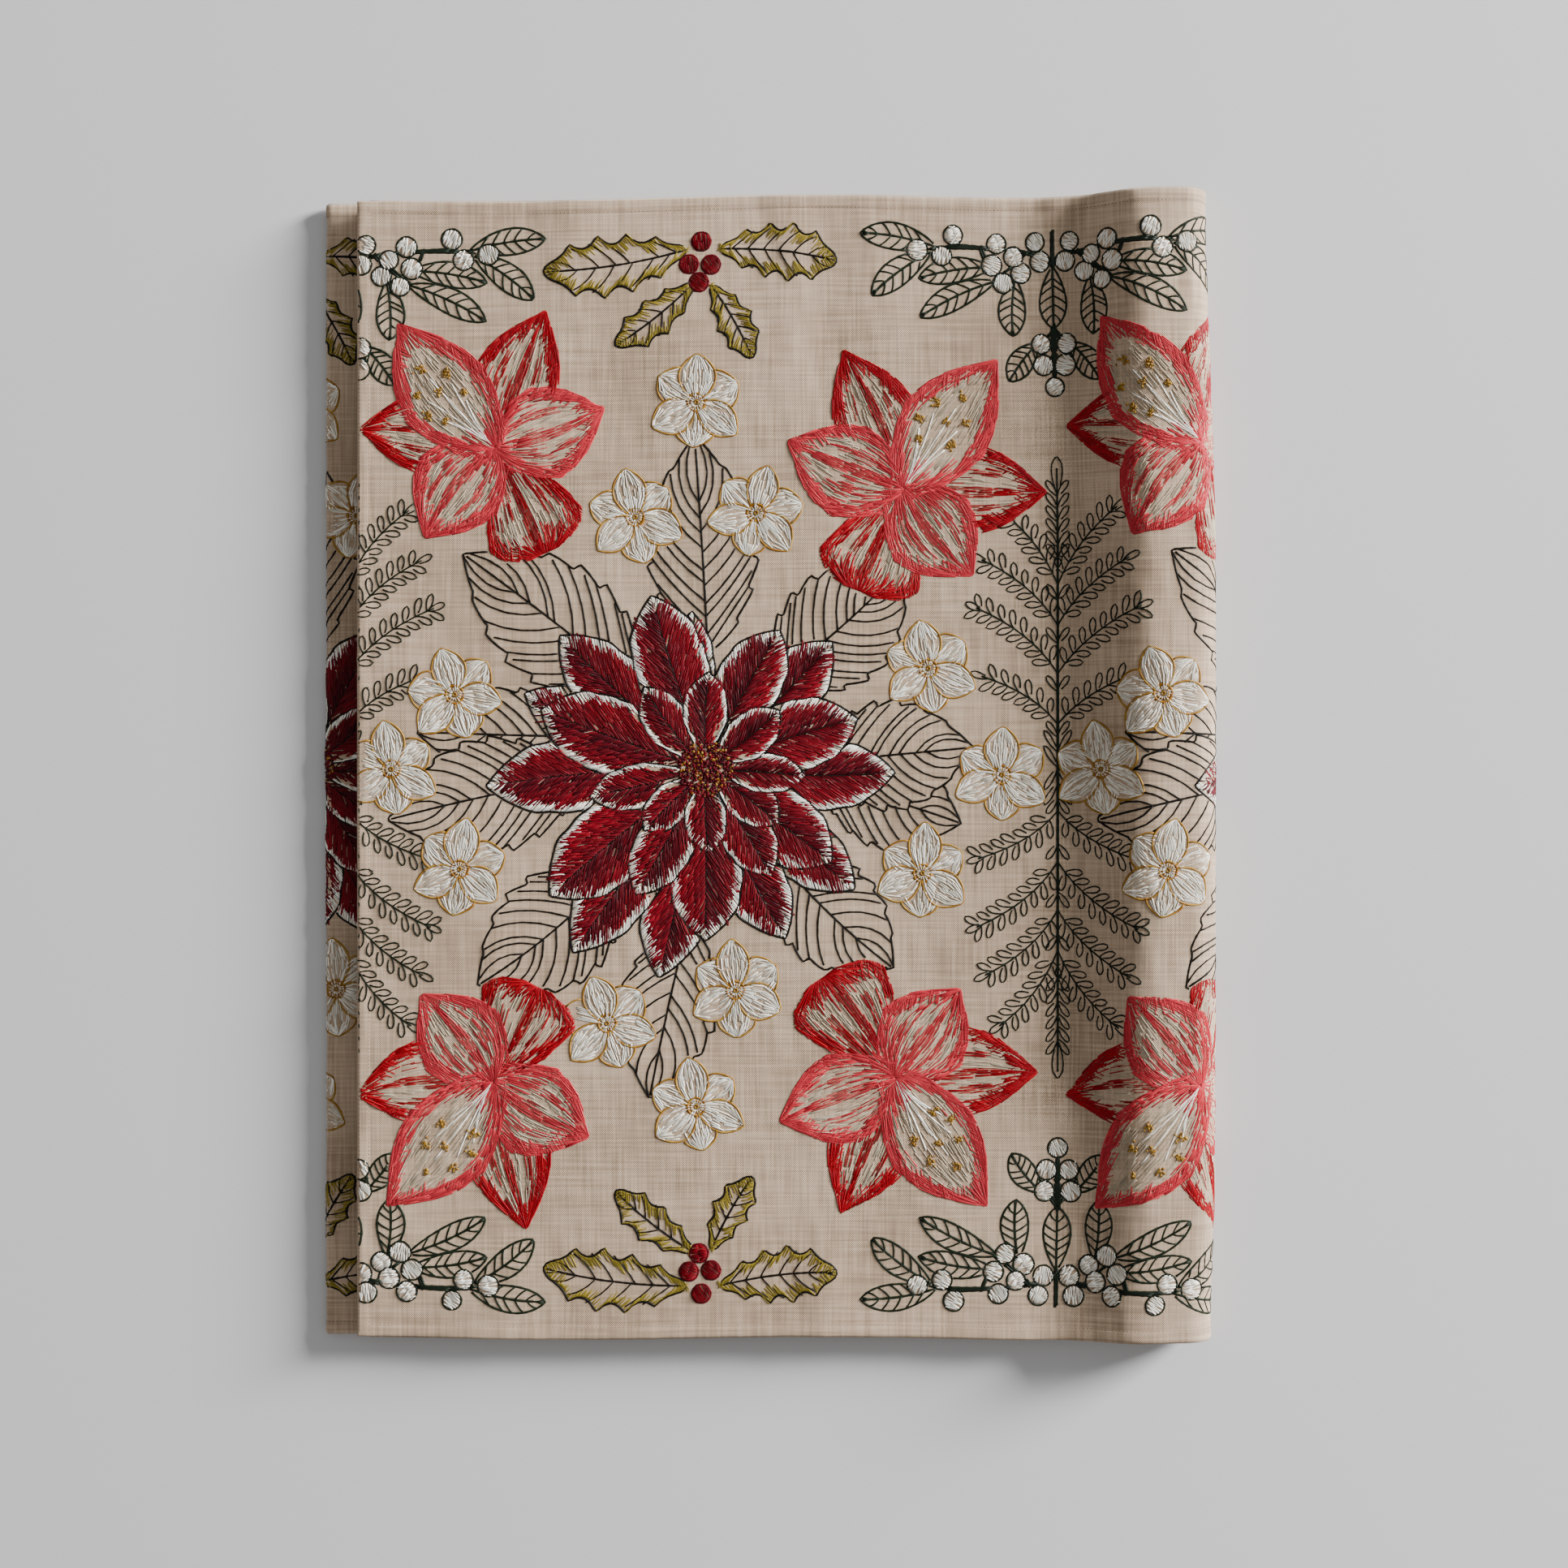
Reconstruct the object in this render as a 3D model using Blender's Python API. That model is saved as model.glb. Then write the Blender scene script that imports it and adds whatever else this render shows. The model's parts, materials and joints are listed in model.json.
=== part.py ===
"""A linen table runner with embroidered winter flowers, folded in half twice.

The cloth is one long strip. A point of it is given by s, the distance along the strip from its
first end, and t, the distance across it from its centre line. section(s) turns s into the folded
shape: the top panel, the round outer fold, the bottom panel, the centre fold, the inner bottom
panel, the inner fold and the inner top panel. Opening the book lifts the two upper panels.
"""

import bisect
import math

import bpy
from mathutils import Vector

# Driving dimensions, in metres
RUNNER_WIDTH = 0.450
RUNNER_LENGTH = 1.393
FOLD_PAST_MIDDLE = 0.007  # the centre fold is this far past the middle of the cloth
END_SETBACK = 0.0136  # the first end stops this far short of the centre fold
CLOTH = 0.0006
HEM = 0.005
THREAD = 0.0003  # how far embroidery stands up
STITCH_WIDTH = 0.0005
CLEARANCE = 0.0003
AIR = 0.0005  # free height between two layers
FOLD_HEIGHT = 0.022  # overall height of the puffed outer fold
FOLD_LEAN = math.radians(15)  # how far past its top the fold already slopes down
SLOPE_RUN = 0.057  # over which the upper panels sink from the fold to their flat part
REPEATS = 5  # of the embroidery along the cloth
END_TRIM = 0.0036  # cut off the first and the last repeat

POINSETTIA_RADIUS = 0.068
AMARYLLIS_RADIUS = 0.040
NARCISSUS_RADIUS = 0.0165
HOLLY_HALF_WIDTH = 0.055
HOLLY_HALF_HEIGHT = 0.018
FIR_HALF_WIDTH = 0.022
FIR_HALF_HEIGHT = 0.049
FIR_HEIGHT = 0.072  # each fir spray, from the centre line of the cloth
MISTLETOE_HALF_WIDTH = 0.044
MISTLETOE_HALF_HEIGHT = 0.030
MISTLETOE_INSET = 0.044  # its middle, from the side edge
HOLLY_INSET = 0.027
INNER_FLOWER_RADIUS = 0.060

OUTER_STITCH_INSET = 0.0011  # the end hem's outer row, from the edge
STEPS_ON_FOLD = 14
STEPS_ON_SLOPE = 9
SIDES = {"near": -1, "far": 1}

# Places along and across the cloth
FRONT_HALF = RUNNER_LENGTH / 2 + FOLD_PAST_MIDDLE  # from the first end to the centre fold
REPEAT = (RUNNER_LENGTH + 2 * END_TRIM) / REPEATS
FIRST_FLOWER = REPEAT / 2 - END_TRIM  # centre of the first poinsettia, from the first end
MISTLETOE_HEIGHT = RUNNER_WIDTH / 2 - MISTLETOE_INSET
HOLLY_HEIGHT = RUNNER_WIDTH / 2 - HOLLY_INSET

# Heights of the middle of each layer where the stack lies flat
HEM_STACK = CLEARANCE + CLOTH
THREAD_STACK = CLEARANCE + THREAD
BOTTOM_Z = CLOTH / 2
INNER_BOTTOM_Z = BOTTOM_Z + CLOTH + 2 * HEM_STACK + AIR
INNER_TOP_Z = INNER_BOTTOM_Z + CLOTH + 2 * THREAD_STACK + AIR
TOP_Z = INNER_TOP_Z + CLOTH + 2 * HEM_STACK + AIR

# The folds, measured to the middle of the cloth
AXIS_Z = FOLD_HEIGHT / 2
OUTER_RADIUS = AXIS_Z - BOTTOM_Z
INNER_RADIUS = AXIS_Z - INNER_BOTTOM_Z
CENTRE_RADIUS = (INNER_BOTTOM_Z - BOTTOM_Z) / 2


def polyline_length(points):
    return sum(math.dist(a, b) for a, b in zip(points, points[1:]))


def slope(radius, flat_z):
    """Points from the flat stack up to where a fold of this radius begins, x counted from the axis."""
    high = (-radius * math.sin(FOLD_LEAN), AXIS_Z + radius * math.cos(FOLD_LEAN))
    low = (high[0] - SLOPE_RUN, flat_z)
    rise = high[1] - low[1]
    end_slope = math.tan(FOLD_LEAN) * SLOPE_RUN
    points = []
    for i in range(STEPS_ON_SLOPE + 1):
        f = i / STEPS_ON_SLOPE
        lift = rise * f * f * (3 - 2 * f) - end_slope * f * f * (1 - f)
        points.append((low[0] + f * SLOPE_RUN, low[1] + lift))
    return points


def arc(centre, radius, start, end, steps):
    """Points round a centre, by angle from +x towards +z."""
    found = []
    for i in range(steps + 1):
        angle = start + (end - start) * i / steps
        found.append((centre[0] + radius * math.cos(angle), centre[1] + radius * math.sin(angle)))
    return found


def moved(points, dx):
    return [(x + dx, z) for x, z in points]


def place_of_axis():
    """How far the fold axis lies from the left edge of the folded cloth, so that the front half fits."""
    upper = slope(OUTER_RADIUS, TOP_Z)
    rise = polyline_length(upper)
    fold = OUTER_RADIUS * (math.pi + FOLD_LEAN)
    half_centre_fold = CENTRE_RADIUS * math.pi / 2
    flats = FRONT_HALF - rise - fold - half_centre_fold
    return (flats - upper[0][0] + END_SETBACK + CENTRE_RADIUS + CLOTH / 2) / 2


AXIS_FROM_LEFT = place_of_axis()
FOLDED_LENGTH = AXIS_FROM_LEFT + OUTER_RADIUS + CLOTH / 2
LEFT_X = -FOLDED_LENGTH / 2
AXIS_X = LEFT_X + AXIS_FROM_LEFT
CENTRE_FOLD_X = LEFT_X + CLOTH / 2 + CENTRE_RADIUS


def folded_path():
    """The cloth's points in order of s, and the s at which each part of it begins and ends."""
    down, up = -math.pi / 2, math.pi / 2
    upper = moved(slope(OUTER_RADIUS, TOP_Z), AXIS_X)
    inner = moved(slope(INNER_RADIUS, INNER_TOP_Z), AXIS_X)[::-1]
    axis = (AXIS_X, AXIS_Z)
    centre = (CENTRE_FOLD_X, (BOTTOM_Z + INNER_BOTTOM_Z) / 2)
    parts = [
        ("top_panel", [(LEFT_X + END_SETBACK, TOP_Z)] + upper),
        ("outer_fold", arc(axis, OUTER_RADIUS, up + FOLD_LEAN, down, STEPS_ON_FOLD)),
        ("bottom_panel", [(AXIS_X, BOTTOM_Z), (CENTRE_FOLD_X, BOTTOM_Z)]),
        ("centre_fold", arc(centre, CENTRE_RADIUS, down, down - math.pi, STEPS_ON_FOLD // 2)),
        ("inner_bottom_panel", [(CENTRE_FOLD_X, INNER_BOTTOM_Z), (AXIS_X, INNER_BOTTOM_Z)]),
        ("inner_fold", arc(axis, INNER_RADIUS, down, up + FOLD_LEAN, STEPS_ON_FOLD)),
        ("inner_top_panel", inner),
    ]
    points, reach, spans = [], [], {}
    s = 0.0
    for name, stretch in parts:
        start = s
        for i, point in enumerate(stretch):
            if i:
                s += math.dist(stretch[i - 1], point)
            if not points or math.dist(points[-1], point) > CLEARANCE / 10:
                points.append(point)
                reach.append(s)
        spans[name] = (start, s)
    rest = RUNNER_LENGTH - s  # the flat end of the inner top panel
    points.append((points[-1][0] - rest, points[-1][1]))
    reach.append(RUNNER_LENGTH)
    spans["inner_top_panel"] = (spans["inner_top_panel"][0], RUNNER_LENGTH)
    return points, reach, spans


PATH, REACH, SPANS = folded_path()


def section(s):
    """The middle of the cloth at s as (x, z), and the direction in which its front faces."""
    i = min(max(bisect.bisect_right(REACH, s) - 1, 0), len(PATH) - 2)
    a, b = PATH[i], PATH[i + 1]
    f = (s - REACH[i]) / (REACH[i + 1] - REACH[i])
    point = Vector((a[0] + (b[0] - a[0]) * f, a[1] + (b[1] - a[1]) * f))
    return point, facing(i, f)


def facing(i, f):
    """The front's direction on stretch i of the path, turned smoothly from point to point."""
    directions = []
    for k in (i, i + 1):
        before, after = PATH[max(k - 1, 0)], PATH[min(k + 1, len(PATH) - 1)]
        along = Vector((after[0] - before[0], after[1] - before[1])).normalized()
        directions.append(Vector((-along.y, along.x)))
    return directions[0].lerp(directions[1], f).normalized()


def at(s, t, lift):
    """The point of the cloth at s and t, this far out from the middle of the cloth on its front side."""
    point, front = section(s)
    return Vector((point.x + front.x * lift, t, point.y + front.y * lift))


def stations(start, end):
    """Both ends of a stretch of cloth and the path's own points between them."""
    inside = [s for s in REACH if start + CLEARANCE < s < end - CLEARANCE]
    return [start] + inside + [end]


def material(name, colour, roughness):
    made = bpy.data.materials.new(name)
    made.use_nodes = True
    shader = made.node_tree.nodes["Principled BSDF"]
    shader.inputs["Base Color"].default_value = (*colour, 1)
    shader.inputs["Roughness"].default_value = roughness
    shader.inputs["Metallic"].default_value = 0
    return made


def add_object(name, points, faces, colour, roughness, parent):
    """A mesh object with its own material, its origin where its parent's is."""
    origin = Vector(parent.location)
    mesh = bpy.data.meshes.new(name)
    mesh.from_pydata([p - origin for p in points], [], faces)
    mesh.validate()
    mesh.materials.append(material(name, colour, roughness))
    made = bpy.data.objects.new(name, mesh)
    made.parent = parent
    bpy.context.scene.collection.objects.link(made)
    return made


def slab(name, rows, low, high, colour, roughness, parent):
    """A closed solid along the cloth. Each row is (s, lowest t, highest t); low and high are lifts."""
    points, faces = [], []
    for s, near, far in rows:
        points += [at(s, near, low), at(s, far, low), at(s, far, high), at(s, near, high)]
    for i in range(len(rows) - 1):
        a, b = 4 * i, 4 * i + 4
        for k in range(4):
            n = (k + 1) % 4
            faces.append((a + k, b + k, b + n, a + n))
    last = 4 * len(rows) - 4
    faces += [(0, 1, 2, 3), (last + 3, last + 2, last + 1, last)]
    return shaded(add_object(name, points, faces, colour, roughness, parent))


def prism(name, outline, low, high, colour, roughness, parent):
    """A closed solid over an outline of (s, t) points that lies where the cloth is flat."""
    count = len(outline)
    points = [at(s, t, lift) for lift in (low, high) for s, t in outline]
    faces = [tuple(range(count))[::-1], tuple(range(count, 2 * count))]
    faces += [(i, (i + 1) % count, count + (i + 1) % count, count + i) for i in range(count)]
    return shaded(add_object(name, points, faces, colour, roughness, parent))


def shaded(made):
    """Faces turned outwards, and smooth over the folds."""
    mesh = made.data
    volume = 0.0
    mesh.calc_loop_triangles()
    for triangle in mesh.loop_triangles:
        a, b, c = (mesh.vertices[i].co for i in triangle.vertices)
        volume += a.dot(b.cross(c))
    if volume < 0:
        mesh.flip_normals()
    mesh.shade_smooth()
    mesh.set_sharp_from_angle(angle=math.radians(40))
    return made


LINEN = ((0.49, 0.41, 0.33), 0.9)
HEM_LINEN = ((0.45, 0.38, 0.30), 0.92)
SEWING_THREAD = ((0.60, 0.55, 0.46), 0.6)
SCARLET = ((0.55, 0.01, 0.03), 0.5)
CRIMSON = ((0.26, 0.006, 0.015), 0.5)
IVORY = ((0.80, 0.78, 0.72), 0.5)
PALE_GREEN = ((0.42, 0.44, 0.32), 0.6)
OLIVE = ((0.36, 0.33, 0.08), 0.55)
DARK_GREEN = ((0.03, 0.06, 0.035), 0.6)

BACK = -CLOTH / 2
FRONT = CLOTH / 2


def strip(name, start, end, near, far, low, high, finish, parent):
    rows = [(s, near, far) for s in stations(start, end)]
    return slab(name, rows, low, high, *finish, parent)


def make_cloth(bodies):
    """The four panels and the three folds, which are stretches of the one cloth."""
    half = RUNNER_WIDTH / 2
    for name, (start, end) in SPANS.items():
        first = start if start == 0 else start + CLEARANCE / 2
        last = end if end == RUNNER_LENGTH else end - CLEARANCE / 2
        strip(name, first, last, -half, half, BACK, FRONT, LINEN, bodies[name])


def make_hems(bodies):
    """Turned-in edges on the wrong side: along both sides of each panel, and across both ends."""
    half = RUNNER_WIDTH / 2
    low, high = BACK - HEM_STACK, BACK - CLEARANCE
    for panel in ("top", "bottom", "inner_top", "inner_bottom"):
        start, end = SPANS[f"{panel}_panel"]
        first = HEM + CLEARANCE if start == 0 else start + CLEARANCE / 2
        last = RUNNER_LENGTH - HEM - CLEARANCE if end == RUNNER_LENGTH else end - CLEARANCE / 2
        for side, sign in SIDES.items():
            edges = sorted((sign * half, sign * (half - HEM)))
            name = f"{panel}_side_hem_{side}"
            strip(name, first, last, *edges, low, high, HEM_LINEN, bodies[f"{panel}_panel"])
    strip("top_end_hem", 0, HEM, -half, half, low, high, HEM_LINEN, bodies["top_panel"])
    end_hem = (RUNNER_LENGTH - HEM, RUNNER_LENGTH, -half, half, low, high, HEM_LINEN)
    strip("inner_end_hem", *end_hem, bodies["inner_top_panel"])


def make_stitching(bodies):
    """The rows of sewing thread that hold the hems, on the front of the top panel."""
    low, high = FRONT + CLEARANCE, FRONT + THREAD_STACK
    seam = RUNNER_WIDTH / 2 - HEM + STITCH_WIDTH
    parent = bodies["top_panel"]
    end = SPANS["top_panel"][1] - CLEARANCE
    for side, sign in SIDES.items():
        edges = sorted((sign * seam, sign * (seam - STITCH_WIDTH)))
        strip(f"side_stitching_{side}", HEM, end, *edges, low, high, SEWING_THREAD, parent)
    reach = seam - STITCH_WIDTH - CLEARANCE
    for name, inset in (("outer", OUTER_STITCH_INSET), ("inner", HEM - STITCH_WIDTH)):
        row = (inset, inset + STITCH_WIDTH, -reach, reach, low, high, SEWING_THREAD)
        strip(f"end_stitching_{name}", *row, parent)


def flower_outline(s, t, radius, tips, valley, steps):
    """A flower seen from above: its petals' tips at these angles, and the dips between them."""
    outline = []
    count = len(tips) * steps
    for i in range(count):
        angle = 2 * math.pi * i / count
        off = min(abs(math.remainder(angle - tip, 2 * math.pi)) for tip in tips)
        share = min(off * len(tips) / math.pi, 1)
        reach = radius * (1 - (1 - valley) * share**2)
        outline.append((s + reach * math.cos(angle), t + reach * math.sin(angle)))
    return outline


def even_tips(count, turn=0.0):
    return [turn + 2 * math.pi * i / count for i in range(count)]


# Each flower's centre from the poinsettia's: along, as a share of the repeat, and across in metres
AMARYLLIS = {  # and the turn of its petals in degrees
    "far_left": (-0.294, 0.1274, 8),
    "far_right": (0.283, 0.1102, 8),
    "near_left": (-0.297, -0.1241, -10),
    "near_right": (0.271, -0.1225, -8),
}
NARCISSI = (
    (-0.009, 0.1442), (-0.096, 0.0989), (0.075, 0.1005), (-0.350, 0.0288),
    (-0.396, -0.0026), (-0.343, -0.0401), (0.318, 0.0391), (0.421, -0.0029),
    (0.309, -0.0417), (0.046, -0.0885), (-0.130, -0.0990), (-0.009, -0.1338),
)


def embroidered(name, outline, finish, parent):
    prism(name, outline, FRONT + CLEARANCE, FRONT + THREAD_STACK, *finish, parent)


def make_top_flowers(bodies):
    """The thread of each flower on the top panel, as one raised patch that follows its outline."""
    parent = bodies["top_panel"]
    s = FIRST_FLOWER
    petals = flower_outline(s, 0, POINSETTIA_RADIUS, even_tips(13), 0.84, 6)
    embroidered("poinsettia", petals, CRIMSON, parent)
    for name, (share, t, turn) in AMARYLLIS.items():
        tips = even_tips(6, math.radians(turn))
        petals = flower_outline(s + share * REPEAT, t, AMARYLLIS_RADIUS, tips, 0.60, 8)
        embroidered(f"amaryllis_{name}", petals, SCARLET, parent)
    for i, (share, t) in enumerate(NARCISSI):
        petals = flower_outline(s + share * REPEAT, t, NARCISSUS_RADIUS, even_tips(6), 0.78, 5)
        embroidered(f"narcissus_{i + 1:02d}", petals, IVORY, parent)
    low, high = FRONT + CLEARANCE, FRONT + THREAD_STACK
    for side, sign in SIDES.items():
        size = (HOLLY_HALF_WIDTH, HOLLY_HALF_HEIGHT)
        rows = oval_rows(s, sign * HOLLY_HEIGHT, *size, *SPANS["top_panel"])
        slab(f"holly_{side}", rows, low, high, *OLIVE, parent)


def oval_rows(s, t, half_width, half_height, start, end):
    """Rows across an oval sprig, cut off at the ends of its panel."""
    low, high = max(s - half_width, start), min(s + half_width, end)
    inside = [x for x in stations(low, high) if low < x < high]
    even = [low + (high - low) * i / STEPS_ON_FOLD for i in range(STEPS_ON_FOLD + 1)]
    rows = []
    for x in sorted(even + inside):
        if rows and x - rows[-1][0] < CLEARANCE:
            continue
        reach = half_height * math.sqrt(max(1 - ((x - s) / half_width) ** 2, 0.01))
        rows.append((x, t - reach, t + reach))
    return rows


def make_sprigs(name, s, panel, bodies):
    """The two fir sprays and two mistletoe sprigs that lie between two poinsettias."""
    low, high = FRONT + CLEARANCE, FRONT + THREAD_STACK
    start, end = SPANS[panel]
    first = HEM + CLEARANCE if start == 0 else start + CLEARANCE
    limits = (first, end - CLEARANCE)
    parent = bodies[panel]
    kinds = (
        ("fir_spray", FIR_HEIGHT, (FIR_HALF_WIDTH, FIR_HALF_HEIGHT), DARK_GREEN),
        ("mistletoe", MISTLETOE_HEIGHT, (MISTLETOE_HALF_WIDTH, MISTLETOE_HALF_HEIGHT), PALE_GREEN),
    )
    for kind, height, size, finish in kinds:
        for side, sign in SIDES.items():
            rows = oval_rows(s, sign * height, *size, *limits)
            slab(f"{name}{kind}_{side}", rows, low, high, *finish, parent)


def make_inner_flowers(bodies):
    """The poinsettias on the inner panels, cut off where a panel ends."""
    low, high = FRONT + CLEARANCE, FRONT + THREAD_STACK
    places = (
        ("inner_half_poinsettia", 2, "inner_bottom_panel"),
        ("inner_poinsettia", 3, "inner_bottom_panel"),
        ("last_poinsettia", 4, "inner_top_panel"),
    )
    for name, count, panel in places:
        start, end = SPANS[panel]
        limits = (start + CLEARANCE, end - HEM - CLEARANCE)
        s = FIRST_FLOWER + count * REPEAT
        rows = oval_rows(s, 0, INNER_FLOWER_RADIUS, INNER_FLOWER_RADIUS, *limits)
        slab(name, rows, low, high, *CRIMSON, bodies[panel])


def empty(name, place):
    made = bpy.data.objects.new(name, None)
    made.location = place
    bpy.context.scene.collection.objects.link(made)
    return made


def main():
    for old in list(bpy.data.objects):
        bpy.data.objects.remove(old)
    lower_half = empty("lower_half", (0, 0, 0))
    upper_half = empty("upper_half", (AXIS_X, 0, AXIS_Z))
    bodies = {name: lower_half for name in SPANS}
    bodies["top_panel"] = bodies["inner_top_panel"] = upper_half
    make_cloth(bodies)
    make_hems(bodies)
    make_stitching(bodies)
    make_top_flowers(bodies)
    between = FIRST_FLOWER + REPEAT / 2
    make_sprigs("", between, "top_panel", bodies)
    make_sprigs("end_", between - REPEAT, "top_panel", bodies)
    make_sprigs("inner_", between + 2 * REPEAT, "inner_bottom_panel", bodies)
    make_sprigs("last_", between + 3 * REPEAT, "inner_top_panel", bodies)
    make_inner_flowers(bodies)


main()
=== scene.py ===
"""A folded linen table runner with embroidered winter flowers, built round its CAD frame.

A point of the cloth is given by s, the distance along the strip from its first end, and t, the
distance across it from the centre line. place() turns s and t into the folded shape, so the
cloth, the hems and every stitch follow the same folds and ripples.

The embroidery is drawn once for one repeat, in millimetres from the repeat's centre, and laid
along the cloth five times. Every thread is its own small closed solid.
"""

import functools
import json
import math

import bpy
import numpy as np
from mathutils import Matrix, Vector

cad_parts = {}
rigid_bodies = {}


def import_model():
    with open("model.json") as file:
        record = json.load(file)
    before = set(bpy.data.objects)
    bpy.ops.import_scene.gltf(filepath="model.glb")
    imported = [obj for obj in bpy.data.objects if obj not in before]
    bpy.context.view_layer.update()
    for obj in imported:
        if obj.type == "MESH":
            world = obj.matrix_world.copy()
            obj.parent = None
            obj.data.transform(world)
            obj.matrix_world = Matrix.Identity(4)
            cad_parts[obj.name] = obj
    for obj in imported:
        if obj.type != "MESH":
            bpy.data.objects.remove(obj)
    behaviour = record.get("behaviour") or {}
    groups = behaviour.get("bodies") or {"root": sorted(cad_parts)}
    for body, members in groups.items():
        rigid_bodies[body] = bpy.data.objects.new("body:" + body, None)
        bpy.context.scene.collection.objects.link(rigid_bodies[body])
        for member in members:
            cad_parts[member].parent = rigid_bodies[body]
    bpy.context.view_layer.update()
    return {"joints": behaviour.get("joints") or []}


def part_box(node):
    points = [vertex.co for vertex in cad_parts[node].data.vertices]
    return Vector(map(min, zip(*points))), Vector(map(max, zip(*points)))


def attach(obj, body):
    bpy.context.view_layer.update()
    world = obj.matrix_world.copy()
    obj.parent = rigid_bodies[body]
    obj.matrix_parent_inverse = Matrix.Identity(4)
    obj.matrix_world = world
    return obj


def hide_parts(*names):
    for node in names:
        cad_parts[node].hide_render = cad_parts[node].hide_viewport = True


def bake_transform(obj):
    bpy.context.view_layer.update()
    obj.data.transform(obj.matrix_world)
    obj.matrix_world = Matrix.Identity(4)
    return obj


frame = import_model()

bl_info = {
    "name": "Embroidered Table Runner",
    "version": (1, 0, 0),
    "blender": (4, 5, 0),
    "location": "View3D > Sidebar > Runner",
    "description": "Makes a folded linen runner with thread embroidery",
    "category": "Add Mesh",
}

MM = 0.001
LOWER, UPPER = "lower_half", "upper_half"
LENGTH = 1.393  # finished length of the strip
SEAM_INSET = 0.0003  # from the turned edge of the hem to its row of stitches
FLOOR_Z = -0.0008  # just under the threads of the lowest panel


def box(name):
    low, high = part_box(name)
    return np.array(low), np.array(high)


def middle_height(name):
    """The height of the middle of a flat panel, from its lowest side."""
    return float(box(name)[0][2]) + CAD_CLOTH / 2


HINGE = next(joint for joint in frame["joints"] if joint["name"] == "book_opening")
AXIS_X, AXIS_Z = float(HINGE["pos_m"][0]), float(HINGE["pos_m"][2])
BOTTOM_LOW, BOTTOM_HIGH = box("bottom_panel")
CAD_CLOTH = float(BOTTOM_HIGH[2] - BOTTOM_LOW[2])
HALF_WIDTH = float(BOTTOM_HIGH[1] - BOTTOM_LOW[1]) / 2
BOTTOM_Z = middle_height("bottom_panel")
INNER_BOTTOM_Z = middle_height("inner_bottom_panel")
INNER_TOP_Z = middle_height("inner_top_panel")
TOP_Z = middle_height("top_panel")
FIRST_END_X = float(box("top_panel")[0][0])
CENTRE_FOLD_LEFT = float(box("centre_fold")[0][0])


def srgb(red, green, blue):
    """A linear colour from display values of 0 to 255."""
    channels = []
    for value in (red, green, blue):
        c = value / 255
        channels.append(c / 12.92 if c <= 0.04045 else ((c + 0.055) / 1.055) ** 2.4)
    return tuple(channels)


def length(name, description, default):
    return bpy.props.FloatProperty(
        name=name, description=description, default=default, unit="LENGTH", precision=4
    )


def colour(name, description, default):
    return bpy.props.FloatVectorProperty(
        name=name, description=description, default=default, subtype="COLOR", min=0, max=1
    )


class ClothSizes(bpy.types.PropertyGroup):
    thickness: length("Thickness", "Thickness of the linen", 0.0005)
    hem: length("Hem", "Depth of the turned hem", 0.005)
    stitch_pitch: length("Stitch pitch", "From one hem stitch to the next", 0.00155)
    repeat: length("Repeat", "Length of one repeat of the embroidery", 0.28004)
    first_flower: length("First flower", "From the first end to the first big flower", 0.13642)
    ripple: length("Ripple", "Height of the soft ripples", 0.0008)
    pucker: length("Pucker", "Height of the puckers round the stitching", 0.0002)
    linen: colour("Linen", "Main colour of the linen", srgb(194, 169, 143))
    # The dark end of the slubs, and also of the painted mottled shade in the linen
    linen_dark: colour("Dark linen", "Slubs and deeper yarns", srgb(140, 116, 91))


class ThreadSettings(bpy.types.PropertyGroup):
    width: length("Thread width", "Width of a filling stitch", 0.00052)
    rise: length("Thread rise", "How far a filling stitch stands up", 0.00024)
    line: length("Line width", "Width of an outline stitch", 0.0009)
    line_rise: length("Line rise", "How far an outline stands up", 0.0003)


class StageSettings(bpy.types.PropertyGroup):
    height: length("Camera height", "Camera above the table", 0.9)
    view: length("View width", "Width of the table that the camera sees", 0.6246)
    key: bpy.props.FloatProperty(name="Key", description="Power of the window light", default=950)
    fill: bpy.props.FloatProperty(name="Fill", description="Strength of the room", default=0.41)
    floor: colour("Table", "Colour of the pale table top", srgb(205, 205, 205))


def cloth_sizes():
    return bpy.context.scene.runner_cloth


def turned(vectors):
    """Vectors of two numbers, a quarter turn on."""
    return np.stack([-vectors[..., 1], vectors[..., 0]], -1)


def heading(angle):
    """Unit vectors at these angles."""
    return np.stack([np.cos(angle), np.sin(angle)], -1)


def tangents(line):
    """Unit vectors along a line, one at each of its points."""
    along = np.gradient(line, axis=0)
    return along / np.linalg.norm(along, axis=1)[:, None]


def reach_along(line):
    """How far along a line each of its points lies."""
    return np.concatenate([[0], np.cumsum(np.linalg.norm(np.diff(line, axis=0), axis=1))])


# The folded path of the cloth

FOLD_LEAN = math.radians(-6)  # how far round the outer fold its crest begins
SLOPE_RUN = 0.0575  # from the flat stack to the end of the crest
# The slope over the puffed fold, as shares of its run and its rise
SLOPE_KNOTS = ((0, 0), (0.25, 0), (0.5, 0.45), (0.56, 1.2), (0.66, 1.12), (1, 1))
SLOPE_STEPS, ARC_STEPS = 40, 44


def curve(*knots, count=9):
    """A smooth line from the first knot to the last, bent towards those between them."""
    f = np.linspace(0, 1, count)[:, None]
    knots = [np.asarray(k, float) for k in knots]
    while len(knots) > 1:
        knots = [a + (b - a) * f for a, b in zip(knots, knots[1:])]
    return knots[0]


def slope(radius, flat_z):
    """Points from the flat stack up over the crest to a fold of this radius."""
    high = (AXIS_X - radius * math.sin(FOLD_LEAN), AXIS_Z + radius * math.cos(FOLD_LEAN))
    rise = high[1] - flat_z
    knots = [(high[0] - SLOPE_RUN * (1 - x), flat_z + rise * z) for x, z in SLOPE_KNOTS]
    return curve(*knots, count=SLOPE_STEPS + 1)


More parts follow.
